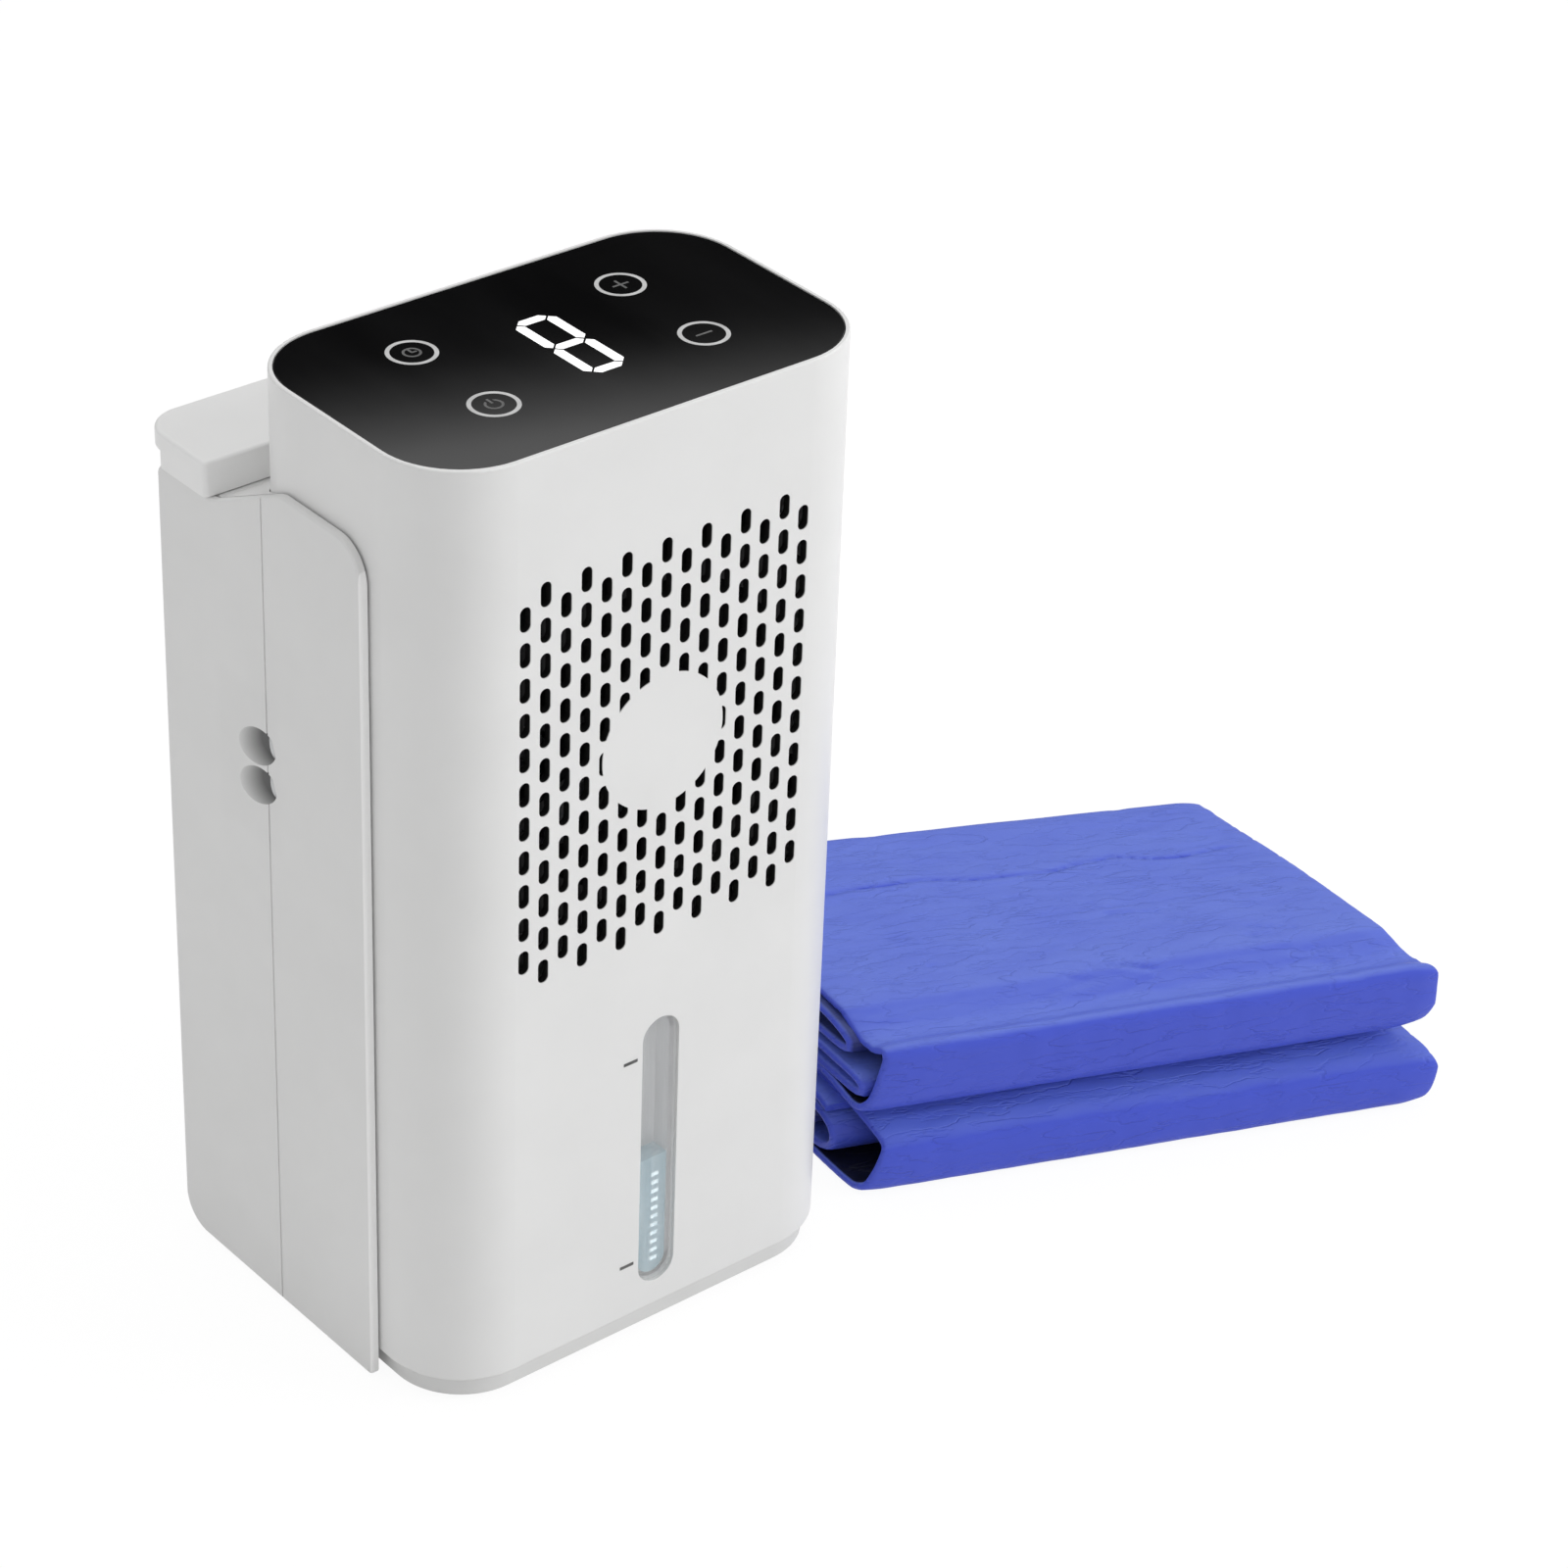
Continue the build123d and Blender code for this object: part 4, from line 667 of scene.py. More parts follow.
@dataclass(frozen=True)
class PadStack:
    """Plan of the folded pad, which lies a little out of square: two packs, hinged along their rear edge."""

    front_left: tuple[float, float] = (-3.2 * MM, -25.0 * MM)
    front_angle: float = radians(-22.0)
    length: float = 180 * MM
    left_angle: float = radians(84.0)
    depth: float = 115 * MM
    rear_angle: float = radians(-25.5)
    rear_length: float = 174 * MM
    squeeze_start: float = 35 * MM
    squeeze_end: float = 80 * MM

    def placed(self, points: np.ndarray, low: float = 0.0) -> np.ndarray:
        """Carries points from the pad's own measures to the part's frame.

        Args:
            points: Along the front edge, back from it and up, in the last axis.
            low: Height of the pack's underside.

        Returns:
            The same points in the part's frame.
        """
        along, back, up = np.moveaxis(np.asarray(points, float), -1, 0)
        share = (along / self.length)[..., None]
        front = np.array(self.front_left) + share * self.length * heading(self.front_angle)
        rear_left = np.array(self.front_left) + self.depth * heading(self.left_angle)
        way = rear_left + share * self.rear_length * heading(self.rear_angle) - front
        depth = np.linalg.norm(way, axis=-1)
        squeezed = np.clip((back - self.squeeze_start) / (self.squeeze_end - self.squeeze_start), 0, 1)
        reach = back - (self.depth - depth) * squeezed
        plan = front + way * (reach / depth)[..., None]
        return np.concatenate([plan, (up + low)[..., None]], axis=-1)

    def carry(self, mesh: bpy.types.Mesh, low: float) -> None:
        """Moves a mesh from the pad's own measures to the part's frame."""
        points = np.empty(len(mesh.vertices) * 3, np.float32)
        mesh.vertices.foreach_get("co", points)
        mesh.vertices.foreach_set("co", self.placed(points.reshape(-1, 3), low).astype(np.float32).ravel())


CLOTH_FRAMES = 20
HOLD_STEPS = 10      # steps of weight in the group that holds the cloth
RIM_LEANS = (30, 60, 90, 120, 150)      # where the points of a round edge lie, in degrees
CLOTH_SETTINGS = {"quality": 6, "mass": 0.02, "tension_stiffness": 20, "compression_stiffness": 20,
                  "shear_stiffness": 8, "bending_stiffness": 0.02, "use_pressure": True,
                  "uniform_pressure_force": 0.6}


@dataclass
class Pack:
    """One folded pack: an outer wrap round a nest of inner layers, open at both ends."""

    name: str
    body: str
    stack: PadStack
    low: float
    section: Outline
    nests: list[Outline]
    left_profile: Outline
    right_profile: Outline
    nest_start: float
    creases: list[Crease]
    seed: int
    wrap_thickness: float = 2.4 * MM
    layer_thickness: float = 2.9 * MM
    round_samples: int = 236
    long_samples: int = 150
    wrinkle: float = 0.3 * MM
    growth: float = 1.03
    reach: float = 1.5 * MM
    unevenness: float = 0.12 * MM
    drawn_left: tuple[float, float] = mm(7, 0.5)
    drawn_right: tuple[float, float] = mm(8, 0.9)
    ridge_scale: tuple[float, float, float] = (26, 165, 165)
    ridge_width: float = 0.09
    patch_scale: tuple[float, float, float] = (30, 40, 0)
    fine_scale: tuple[float, float, float] = (48, 330, 330)
    fine_share: float = 0.1
    pleat_scale: tuple[float, float, float] = (130, 0, 25)
    pleat_depth: float = 0.32 * MM
    layer_stagger: float = 1.1 * MM
    layer_inset: float = 7.0      # millimetres from the pack's right end to the first layer
    layer_step: float = 0.8       # millimetres more for each layer after it
    # painted shade on the layers: where it starts past their left ends, and the length over which it fades in
    painted_shade_start: float = 1.4 * MM
    painted_shade_fade: float = 1.6 * MM

    def ends(self, turn: np.ndarray, height: np.ndarray) -> tuple[np.ndarray, np.ndarray]:
        """Where the wrap starts and stops along the pack, by the turn round its section and the height there."""
        left, right = (np.interp(height / MM, *np.array(profile).T) * MM
                       for profile in (self.left_profile, self.right_profile))
        left += 0.5 * MM * np.sin(turn * 2 + self.seed) + 0.4 * MM * np.sin(turn * 5 + 1)
        return left, self.stack.length + right - 0.4 * MM * np.sin(turn * 3 + self.seed)

    def middle_sheet(self) -> np.ndarray:
        """The wrap's middle surface before the cloth is let go.

        Returns:
            Points by turn round the section, place along the pack and axis.
        """
        outer = smooth_loop([(y * MM, z * MM) for y, z in self.section], self.round_samples, True)
        tangent = unit(np.roll(outer, -1, axis=0) - np.roll(outer, 1, axis=0))
        inward = np.stack([tangent[:, 1], -tangent[:, 0]], axis=1)
        if np.sum((outer.mean(axis=0) - outer) * inward) < 0:
            inward = -inward
        turn = np.linspace(0, tau, self.round_samples, endpoint=False)
        left, right = self.ends(turn, outer[:, 1])
        share = np.linspace(0, 1, self.long_samples)
        place = left[:, None] + (right - left)[:, None] * share
        near_left = np.clip(1 - (place - left[:, None]) / self.drawn_left[0], 0, 1) ** 2
        near_right = np.clip(1 - (right[:, None] - place) / self.drawn_right[0], 0, 1) ** 2
        inset = self.wrap_thickness / 2 + self.drawn_left[1] * near_left + self.drawn_right[1] * near_right
        flat = outer[:, None, :] + inward[:, None, :] * inset[:, :, None]
        return np.concatenate([place[:, :, None], flat], axis=2)

    def loosened(self, sheet: np.ndarray) -> np.ndarray:
        """Lets the wrap settle as cloth that is a little too long for its path, so that it wrinkles.

        Args:
            sheet: The middle surface.

        Returns:
            The settled surface, never further than the reach from where it was.
        """
        rows, columns = sheet.shape[:2]
        flat = sheet.reshape(-1, 3).copy()
        flat[:, 2] += self.unevenness * noise_at(flat, 60, 330, 0, self.seed)
        numbers = np.arange(rows * columns).reshape(rows, columns)
        nearby = np.roll(numbers, -1, axis=0)
        faces = np.stack([numbers[:, :-1], nearby[:, :-1], nearby[:, 1:], numbers[:, 1:]], axis=2).reshape(-1, 4)
        mesh = bpy.data.meshes.new("loose")
        mesh.from_pydata(flat.tolist(), [], faces.tolist())
        cloth = new_object("loose", mesh)
        group = cloth.vertex_groups.new(name="held")
        height = flat[:, 2] / flat[:, 2].max()
        front = flat[:, 1] / self.stack.depth
        held = np.clip(1 - (height - 0.25) / 0.5, 0, 1) * 0.9 + np.clip((front - 0.93) * 10, 0, 1) * 0.6
        for step in range(1, HOLD_STEPS + 1):
            chosen = numbers.ravel()[np.round(np.clip(held, 0, 1) * HOLD_STEPS) == step].tolist()
            if chosen:
                group.add(chosen, step / HOLD_STEPS, "REPLACE")
        cloth.shape_key_add(name="Basis")
        longer = cloth.shape_key_add(name="longer")
        middle = flat[:, 1].mean()
        grown = flat.copy()
        grown[:, 1] = middle + (flat[:, 1] - middle) * self.growth
        longer.data.foreach_set("co", grown.astype(np.float32).ravel())
        longer.value = 0.0
        modifier = cloth.modifiers.new("Cloth", "CLOTH")
        settings = modifier.settings
        for setting, value in CLOTH_SETTINGS.items():
            setattr(settings, setting, value)
        settings.vertex_group_mass = group.name
        settings.rest_shape_key = longer
        settings.effector_weights.gravity = 0.0
        modifier.point_cache.frame_end = CLOTH_FRAMES
        for frame in range(1, CLOTH_FRAMES + 1):
            bpy.context.scene.frame_set(frame)
        graph = bpy.context.evaluated_depsgraph_get()
        settled = np.zeros(rows * columns * 3, np.float32)
        cloth.evaluated_get(graph).data.vertices.foreach_get("co", settled)
        bpy.context.scene.frame_set(1)
        bpy.data.objects.remove(cloth)
        moved = settled.reshape(-1, 3).astype(float) - flat
        length = np.linalg.norm(moved, axis=1)[:, None]
        moved *= np.minimum(1, self.reach / np.maximum(length, 1e-9))
        log.info("%s: cloth moved %.2f mm on average", self.name, length.mean() / MM)
        return (flat + moved).reshape(sheet.shape)

    def normals(self, sheet: np.ndarray) -> np.ndarray:
        """Outward unit normals of a middle surface."""
        round_way = np.roll(sheet, -1, axis=0) - np.roll(sheet, 1, axis=0)
        long_way = np.gradient(sheet, axis=1)
        found = unit(np.cross(round_way, long_way))
        outward = sheet - sheet.mean(axis=0, keepdims=True)
        return found if np.sum(found * outward) > 0 else -found

    def wrinkled(self, sheet: np.ndarray) -> np.ndarray:
        """Adds the small wrinkles and the long creases to a settled surface.

        Args:
            sheet: The middle surface.

        Returns:
            The surface with its relief.
        """
        normal = self.normals(sheet)
        flat = sheet.reshape(-1, 3)
        ridged = np.abs(noise_at(flat, *self.ridge_scale, self.seed))
        patches = noise_at(flat, *self.patch_scale, self.seed + 7.5)
        fine = noise_at(flat, *self.fine_scale, self.seed + 3)
        strength = np.clip(0.55 + 1.1 * patches, 0.12, 1.3)
        relief = (-self.wrinkle * strength * np.exp(-(ridged / self.ridge_width) ** 2)
                  + self.fine_share * self.wrinkle * fine)
        top = np.clip((normal[:, :, 2].reshape(-1) - 0.6) / 0.3, 0, 1)
        flank = np.clip((-normal[:, :, 1].reshape(-1) - 0.5) / 0.4, 0, 1)
        pleats = noise_at(flat, *self.pleat_scale, self.seed + 20)
        relief = relief * (0.35 + 0.65 * top) + self.pleat_depth * flank * pleats
        for crease in self.creases:
            relief += top * crease.height(flat[:, 0], flat[:, 1])
        return sheet + normal * relief.reshape(sheet.shape[:2])[:, :, None]

    def wrap(self) -> bpy.types.Object:
        """The outer wrap as a closed sheet of real thickness with round edges.

        Returns:
            The wrap, dressed, riding on its body and standing for the pack's CAD solid.
        """
        sheet = self.middle_sheet()
        sheet = self.loosened(sheet)
        sheet = self.wrinkled(sheet)
        normal = self.normals(sheet)
        half = self.wrap_thickness / 2
        rims = []
        for column, nearby, sign in ((-1, -2, 1), (0, 1, -1)):
            outward = unit(sheet[:, column] - sheet[:, nearby])
            lean = np.radians(RIM_LEANS)[:, None]
            rims.append(sheet[:, column, None] + half * (sign * np.cos(lean) * normal[:, column, None]
                                                         + np.sin(lean) * outward[:, None]))
        outer, inner = sheet + normal * half, (sheet - normal * half)[:, ::-1]
        ring = np.concatenate([outer, rims[0], inner, rims[1]], axis=1)
        mesh = ring_mesh(self.name, self.stack.placed(ring, self.low))
        # painted shade over the whole inner side of the wrap, which faces the layers
        painted_shade_inside = np.zeros(ring.shape[:2])
        painted_shade_inside[:, outer.shape[1] + rims[0].shape[1]:][:, :inner.shape[1]] = 1
        paint_shade_between_layers(mesh, painted_shade_inside)
        return soft_piece(self.name, mesh, lambda obj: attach(obj, self.body))

    def layers(self) -> bpy.types.Object:
        """The inner layers, each a flat strip with round edges swept along its own fold.

        Returns:
            The layers as one object.
        """
        pieces = []
        for number, nest in enumerate(self.nests):
            start = self.nest_start + self.layer_stagger * (number % 2)
            width = self.stack.length - start - (self.layer_inset + self.layer_step * number) * MM
            maker = NodeMaker(f"{self.name}_fold_{number}", NYLON, Width=width, Thickness=self.layer_thickness,
                              Sides=6)
            pieces.append((self.swept(maker, nest), start + width / 2))
        joined = bmesh.new()
        for piece, middle in pieces:
            piece.data.transform(Matrix.Translation((middle, 0, 0)))
            joined.from_mesh(piece.data)
            bpy.data.objects.remove(piece)
        mesh = bpy.data.meshes.new(self.name + "_layers")
        joined.to_mesh(mesh)
        joined.free()
        finish_surface(mesh)
        map_layers(mesh)
        # painted shade on the layers, except for the strip at their left ends
        along = np.array([vertex.co.x for vertex in mesh.vertices])
        paint_shade_between_layers(mesh, np.clip((along - self.nest_start - self.painted_shade_start) / self.painted_shade_fade, 0, 1))
        self.stack.carry(mesh, self.low)
        return soft_piece(self.name + "_layers", mesh, lambda obj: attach(obj, self.body))

    def swept(self, maker: NodeMaker, nest: Outline) -> bpy.types.Object:
        """One strip, from a fold path and a flat profile with round ends.

        Args:
            maker: The Geometry Nodes tree to fill.
            nest: The path's points, back from the front and up, in millimetres.

        Returns:
            The strip, centred on X.
        """
        path = smooth_loop([(y * MM, z * MM) for y, z in nest], 72, False)
        line = bpy.data.curves.new(maker.name + "_path", "CURVE")
        line.dimensions = "3D"
        spline = line.splines.new("POLY")
        spline.points.add(len(path) - 1)
        for point, (y, z) in zip(spline.points, path):
            point.co = (0, y, z, 1)
        guide = new_object(maker.name + "_path", line)
        graph, sizes = maker.graph, maker.inputs
        route = graph.add("GeometryNodeObjectInfo", {"Object": guide}).outputs["Geometry"]
        profile = graph.add("GeometryNodeCurvePrimitiveQuadrilateral", {"Width": sizes["Width"],
                                                                       "Height": sizes["Thickness"]})
        rounding = graph.maths("MULTIPLY", sizes["Thickness"], 0.499)
        rounded = graph.add("GeometryNodeFilletCurve", {"Curve": profile.outputs[0], "Radius": rounding,
                                                        "Count": sizes["Sides"]}, mode="POLY")
        body = graph.add("GeometryNodeCurveToMesh", {"Curve": route, "Profile Curve": rounded.outputs[0],
                                                     "Fill Caps": True})
        made = maker.make(body.outputs[0])
        bpy.data.objects.remove(guide)
        return made


def soft_piece(name: str, mesh: bpy.types.Mesh,
               ride: Callable[[bpy.types.Object], object]) -> bpy.types.Object:
    """Makes one soft piece of the pad.

    Args:
        name: The piece's name.
        mesh: Its mesh.
        ride: Ties the piece to the body or bodies that it moves with.

    Returns:
        The piece, in nylon.
    """
    obj = new_object(name, mesh)
    dress(obj, NYLON)
    ride(obj)
    return obj


def ring_mesh(name: str, ring: np.ndarray) -> bpy.types.Mesh:
    """A closed tube whose section is also closed, with the cloth's own map in metres.

    Args:
        name: The mesh's name.
        ring: Points by turn and by place round the sheet's own section, both closed.

    Returns:
        The mesh.
    """
    rows, columns = ring.shape[:2]
    numbers = np.arange(rows * columns).reshape(rows, columns)
    right, down = np.roll(numbers, -1, axis=1), np.roll(numbers, -1, axis=0)
    both = np.roll(right, -1, axis=0)
    faces = np.stack([numbers, right, both, down], axis=2).reshape(-1, 4)
    mesh = bpy.data.meshes.new(name)
    mesh.from_pydata(ring.reshape(-1, 3).tolist(), [], faces.tolist())
    turn = run_length(np.vstack([ring[:, 0], ring[:1, 0]]))
    along = run_length(np.vstack([ring[0], ring[0][:1]]))
    row, column = np.divmod(np.arange(rows * columns), columns)
    corner_rows = np.stack([row, row, row + 1, row + 1], axis=1)
    corner_columns = np.stack([column, column + 1, column + 1, column], axis=1)
    layer = mesh.uv_layers.new(name=CLOTH_MAP)
    layer.data.foreach_set("uv", np.stack([along[corner_columns], turn[corner_rows]], axis=2).ravel())
    finish_surface(mesh)
    return mesh


def finish_surface(mesh: bpy.types.Mesh) -> None:
    """Shades a closed mesh smoothly, with its normals outwards."""
    mesh.polygons.foreach_set("use_smooth", [True] * len(mesh.polygons))
    turned = bmesh.new()
    turned.from_mesh(mesh)
    bmesh.ops.recalc_face_normals(turned, faces=turned.faces)
    turned.to_mesh(mesh)
    turned.free()


def paint_shade_between_layers(mesh: bpy.types.Mesh, share: np.ndarray) -> None:
    """Stores the painted shade on the vertices that lie in the dark between the layers, with 1 for fully inside and
    fully dark.
    """
    layer = mesh.attributes.new(PAINTED_SHADE_ATTRIBUTE, "FLOAT", "POINT")
    layer.data.foreach_set("value", share.astype(np.float32).ravel())


def map_layers(mesh: bpy.types.Mesh) -> None:
    """Gives swept strips the cloth's map: along the pack and round the fold, in metres."""
    layer = mesh.uv_layers.new(name=CLOTH_MAP)
    for loop in mesh.loops:
        point = mesh.vertices[loop.vertex_index].co
        layer.data[loop.index].uv = (point.x, point.y + point.z)


# Sections of the packs and of the folds inside them: back from the front edge and up, in millimetres
LOWER_SECTION = [(92, 0.1), (60, 0.0), (30, 0.0), (10, 0.0), (2.6, 0.3), (-1.4, 2.4), (-2.2, 6.5), (-1.8, 11.5),
                 (-0.4, 15.4), (3.0, 18.2), (8.2, 20.6), (14.5, 22.8), (24, 24.6), (52, 25.5), (92, 25.3),
                 (104, 24.4), (111.5, 21.8), (114.5, 16), (114.5, 9.5), (110.8, 3.8), (103.5, 0.7)]
LOWER_NESTS = [[(105, 5.0), (60, 4.3), (28, 4.3), (18.5, 6.4), (15.6, 10.8), (18.8, 15.2), (29, 17.4), (60, 18.0),
                (105, 17.4)],
               [(106, 8.4), (60, 8.0), (33, 8.2), (28.5, 11.0), (33, 13.9), (60, 14.4), (106, 13.8)],
               [(103, 21.1), (60, 22.0), (28, 21.4), (19, 19.6)]]
UPPER_SECTION = [(92, 0.1), (60, 0.0), (30, 0.0), (19, -0.5), (11, -1.5), (5.6, -0.4), (2.6, 3.2), (1.8, 9.0),
                 (1.9, 15.0), (2.2, 19.2), (3.8, 21.8), (6.4, 22.2), (10.5, 20.6), (15.5, 21.0), (21.5, 23.8),
                 (26, 25.5), (40, 26.0), (80, 26.9), (104, 27.1), (112.4, 27.0), (115.6, 26.2), (116.2, 22),
                 (114.8, 12), (112, 4.6), (104, 0.8)]
UPPER_NESTS = [[(105, 4.2), (60, 4.0), (20, 4.0), (9.8, 4.5), (7.0, 6.5), (9.8, 8.6), (20, 9.2), (60, 9.4),
                (105, 9.0)],
               [(105, 21.2), (60, 21.7), (32, 21.0), (20, 19.2), (16.0, 16.7), (19, 14.4), (30, 13.9), (60, 14.0),
                (105, 14.0)]]
# How far each end of a wrap is in from the pack's left end or past its right end, by height, in millimetres
LOWER_LEFT = [(0, 0.6), (6, 3.4), (17, 8.2), (25, 7.5)]
LOWER_RIGHT = [(0, -2.5), (6, 0.2), (13.6, 2.2), (19, 1.4), (24, -1.0)]
UPPER_LEFT = [(0, 3.6), (5, 5.6), (18, 9.0), (25, 9.2)]
UPPER_RIGHT = [(0, -4.0), (3, -1.0), (8, 1.4), (20, 1.6), (25, 0.0)]
# Creases in the top sheet: along from the left end and back from the front, in millimetres
LONG_CREASE = Crease(((28, 84), (41, 85.5), (66, 86.2), (87, 83.4), (111, 83.6), (132, 87.3), (143, 83.4),
                      (178, 86.6)), 1.1 * MM, 1.2 * MM, 12 * MM)
SHORT_CREASES = ((39, 57.2, 48, 55.1), (40, 39.5, 49, 37.2), (22, 33, 31, 31), (85, 71.5, 94, 69.6),
                 (107, 55, 126, 49.6), (141, 35, 158, 30.4), (137, 29.9, 145, 28), (75, 27.8, 82, 26.2),
                 (89, 26.8, 106, 22.3), (67, 62.2, 73, 61))
# The strip at the rear fold, from the upper pack's side to the fold's middle: back from the packs and up
WEB_REACH = [(-11.5, -0.5), (-7.0, -1.3), (-3.6, -4.0), (-0.6, -5.4), (1.2, -3.2), (1.7, 0.0)]


@dataclass
class WaterPad:
    """The folded water pad: two packs and the web of cloth that joins them at the back."""

    stack: PadStack
    height: float = 52 * MM
    gap: float = 0.6 * MM
    web_thickness: float = 1.2 * MM
    web_samples: int = 26
    web_rows: int = 60
    web_inset: tuple[float, float] = mm(3, 5)
    web_wave: float = 0.3 * MM
    web_waves: float = 240
    fold_half: float = 4.5 * MM

    @property
    def pack_height(self) -> float:
        """Height of one pack."""
        return (self.height - self.gap) / 2

    def packs(self) -> list[Pack]:
        """The lower and the upper pack, with the folds that show at their ends."""
        creases = [LONG_CREASE] + [Crease(((a, b), (c, d))) for a, b, c, d in SHORT_CREASES]
        return [Pack("pad_lower_wrap", "pad_lower", self.stack, 0.0, LOWER_SECTION, LOWER_NESTS, LOWER_LEFT,
                     LOWER_RIGHT, 0.2 * MM, [], 3),
                Pack("pad_upper_wrap", "pad_upper", self.stack, self.pack_height + self.gap, UPPER_SECTION,
                     UPPER_NESTS, UPPER_LEFT, UPPER_RIGHT, 3.4 * MM, creases, 11)]

    def build(self) -> None:
        """Makes both packs and the web between them."""
        for pack, node in zip(self.packs(), ("pad_lower_fold", "pad_upper_fold")):
            wrap, layers = pack.wrap(), pack.layers()
            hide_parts(node)
            log.info("%s: %d faces, layers %d faces", pack.name, len(wrap.data.polygons), len(layers.data.polygons))
        self.web()

    def web(self) -> bpy.types.Object:
        """The strip of cloth at the back, curved round the fold.

        Returns:
            The web, curved between the two packs.
        """
        deep, middle = self.stack.depth, self.pack_height + self.gap / 2
        half = [(deep + y * MM, middle + z * MM) for y, z in WEB_REACH]
        path = half + [(y, 2 * middle - z) for y, z in half[-2::-1]]
        line = smooth_loop(path, self.web_samples, False)
        tangent = unit(np.gradient(line, axis=0))
        side = np.stack([-tangent[:, 1], tangent[:, 0]], axis=1) * self.web_thickness / 2
        loop = np.vstack([line + side, (line - side)[::-1]])
        places = np.linspace(self.web_inset[0], self.stack.length - self.web_inset[1], self.web_rows)
        rows = [np.column_stack([np.full(len(loop), place), loop[:, 0] + self.web_wave * sin(place * self.web_waves),
                                 loop[:, 1]]) for place in places]
        mesh = strip_mesh("pad_fold_web", self.stack.placed(np.array(rows)))
        start, end = (tuple(self.stack.placed(np.array([self.stack.length / 2, deep, middle + side])).tolist())
                      for side in (-self.fold_half, self.fold_half))
        return soft_piece("pad_fold_web", mesh, lambda obj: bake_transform(obj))


def strip_mesh(name: str, rows: np.ndarray) -> bpy.types.Mesh:
    """A closed bar from rows of section points, capped at both ends, with the cloth's map.

    Args:
        name: The mesh's name.
        rows: Points by place along the bar and by turn round its closed section.

    Returns:
        The mesh.
    """
    count, turns = rows.shape[:2]
    numbers = np.arange(count * turns).reshape(count, turns)
    nearby = np.roll(numbers, -1, axis=1)
    faces = np.stack([numbers[:-1], nearby[:-1], nearby[1:], numbers[1:]], axis=2).reshape(-1, 4).tolist()
    half = turns // 2
    for row in (numbers[0], numbers[-1]):
        faces += [[row[k], row[k + 1], row[turns - 2 - k], row[turns - 1 - k]] for k in range(half - 1)]
    mesh = bpy.data.meshes.new(name)
    mesh.from_pydata(rows.reshape(-1, 3).tolist(), [], faces)
    map_layers(mesh)
    finish_surface(mesh)
    return mesh


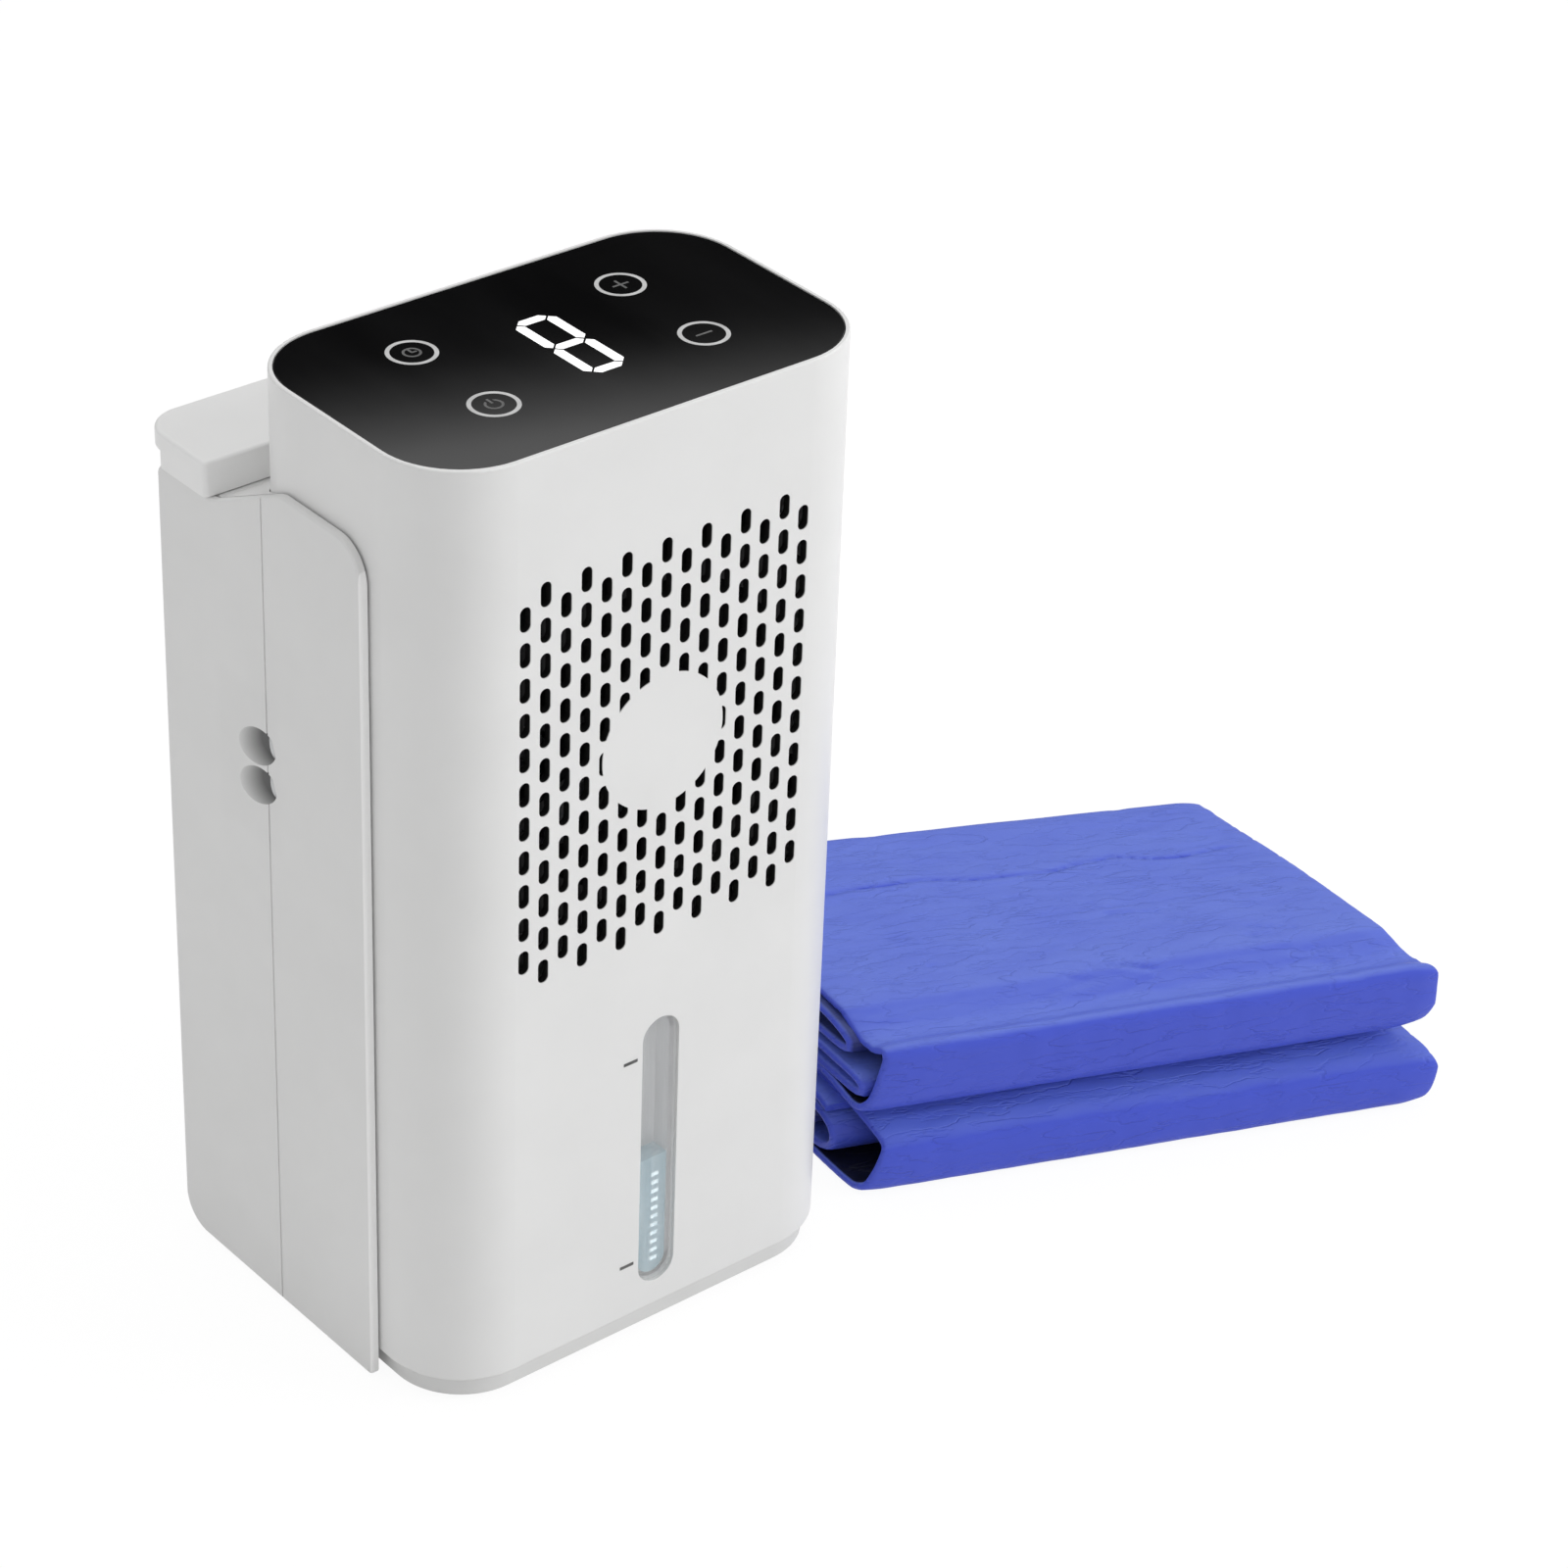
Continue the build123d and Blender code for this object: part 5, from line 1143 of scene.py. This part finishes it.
@dataclass
class Studio:
    """A white studio: floor, soft lamps, surroundings and the camera."""

    floor_size: float = 6.0
    eye: tuple[float, float, float] = (-0.7508, -0.85224, 0.83709)
    azimuth: float = radians(-40.75)
    elevation: float = radians(31.99)
    roll: float = radians(2.27)
    focal_pixels: float = 4850.0
    picture_pixels: float = 1600.0
    sensor: float = 36.0
    soft_light: float = 0.595
    bright_gloss: float = 0.95
    dim_gloss: float = 0.01
    card_slant: tuple[float, float, float] = (2.354, 16.107, -8.497)
    card_edge: float = 0.098
    card_back: tuple[float, float] = (0.35, 0.55)
    floor_colour: Colour = (0.86, 0.86, 0.86)
    floor_shown: float = 0.9
    floor_white: float = 1.04
    lamps: tuple[tuple[str, tuple[float, float, float], float, float], ...] = (
        ("front_right", (1.5, -1.6, 1.2), 1.2, 22.5), ("left_rear", (-1.9, 1.0, 1.1), 1.2, 2.0),
        ("overhead", (0.2, 0.3, 2.2), 1.4, 8.0))

    def floor(self) -> None:
        """A plain white floor that keeps the object's shadow."""
        mesh = bpy.data.meshes.new("floor")
        half = self.floor_size / 2
        corners = [(-half, -half, 0), (half, -half, 0), (half, half, 0), (-half, half, 0)]
        mesh.from_pydata(corners, [], [(0, 1, 2, 3)])
        obj = new_object("floor", mesh)
        material = bpy.data.materials.new("studio_floor")
        material.use_nodes = True
        graph = Graph(material.node_tree)
        ray = graph.add("ShaderNodeLightPath").outputs
        bent = graph.maths("MAXIMUM", ray["Is Glossy Ray"], ray["Is Transmission Ray"])
        seen = graph.maths("MULTIPLY", graph.maths("MAXIMUM", ray["Is Camera Ray"], bent), self.floor_shown)
        lit = graph.add("ShaderNodeBsdfDiffuse", {"Color": rgba(self.floor_colour)})
        white = graph.add("ShaderNodeEmission", {"Color": rgba((1, 1, 1)), "Strength": self.floor_white})
        mixed = graph.add("ShaderNodeMixShader", {0: seen, 1: lit.outputs[0], 2: white.outputs[0]})
        graph.add("ShaderNodeOutputMaterial", {"Surface": mixed.outputs[0]})
        obj.data.materials.append(material)

    def surroundings(self) -> None:
        """White to the camera, even soft light to the object, and a card that the glass reflects at the front."""
        world = bpy.data.worlds.new("studio")
        bpy.context.scene.world = world
        world.use_nodes = True
        graph = Graph(world.node_tree)
        ray = graph.add("ShaderNodeLightPath").outputs
        way = graph.add("ShaderNodeSeparateXYZ", {0: graph.add("ShaderNodeTexCoord").outputs["Generated"]}).outputs
        across, up, offset = self.card_slant
        slant = graph.maths("MULTIPLY_ADD", way[0], across, graph.maths("MULTIPLY_ADD", way[2], up, offset))
        edge = graph.maths("POWER", graph.spread(slant, 0, 1, 0, 1), 2.0)
        band = graph.spread(edge, self.dim_gloss, self.bright_gloss, 0, self.card_edge)
        dimmed = graph.maths("MULTIPLY", graph.maths("SUBTRACT", self.bright_gloss, band),
                             graph.spread(way[1], 0, 1, *self.card_back))
        card = graph.maths("SUBTRACT", self.bright_gloss, dimmed)
        gloss, soft, white = (graph.add("ShaderNodeBackground", {"Color": rgba((1, 1, 1)), "Strength": strength})
                              .outputs[0] for strength in (card, self.soft_light, 1.0))
        inner = graph.add("ShaderNodeMixShader", {0: ray["Is Glossy Ray"], 1: soft, 2: gloss})
        clear = graph.maths("MAXIMUM", ray["Is Camera Ray"], ray["Is Transmission Ray"])
        outer = graph.add("ShaderNodeMixShader", {0: clear, 1: inner.outputs[0], 2: white})
        graph.add("ShaderNodeOutputWorld", {"Surface": outer.outputs[0]})

    def lamp(self, name: str, place: tuple[float, float, float], size: float, power: float) -> None:
        """A square soft lamp that faces the object and doesn't show in its gloss."""
        light = bpy.data.lights.new(name, "AREA")
        light.size, light.energy = size, power
        obj = bpy.data.objects.new(name, light)
        obj.location = place
        obj.visible_glossy = False
        obj.rotation_euler = (Vector((0, 0, 0.12)) - Vector(place)).to_track_quat("-Z", "Y").to_euler()
        bpy.context.scene.collection.objects.link(obj)

    def camera(self) -> None:
        """The camera at the photograph's angle."""
        data = bpy.data.cameras.new("camera")
        data.sensor_width = self.sensor
        data.lens = self.focal_pixels / self.picture_pixels * self.sensor
        data.clip_start, data.clip_end = 0.05, 50
        forward = Vector((-sin(self.azimuth) * cos(self.elevation), cos(self.azimuth) * cos(self.elevation),
                          -sin(self.elevation)))
        level = Vector((cos(self.azimuth), sin(self.azimuth), 0))
        upright = level.cross(forward)
        right = level * cos(self.roll) + upright * sin(self.roll)
        top = upright * cos(self.roll) - level * sin(self.roll)
        obj = bpy.data.objects.new("camera", data)
        obj.matrix_world = Matrix([[right[row], top[row], -forward[row], self.eye[row]] for row in range(3)]
                                  + [[0, 0, 0, 1]])
        bpy.context.scene.collection.objects.link(obj)
        bpy.context.scene.camera = obj

    def build(self) -> None:
        """Makes the whole studio."""
        self.floor()
        self.surroundings()
        for lamp in self.lamps:
            self.lamp(*lamp)
        self.camera()
        bpy.context.scene.view_settings.view_transform = "Standard"
        log.info("studio is set")


def corners(box: tuple[Vector, Vector]) -> list[list[float]]:
    """A box as plain lists of numbers."""
    return [list(corner) for corner in box]


def main() -> None:
    """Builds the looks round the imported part."""
    logging.basicConfig(level=logging.INFO, format="%(message)s")
    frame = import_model()
    unit = HostUnit(frame["nodes"])
    unit.dress()
    unit.level_marks()
    WaterPad(PadStack()).build()
    Studio().build()


if __name__ == "__main__":
    main()
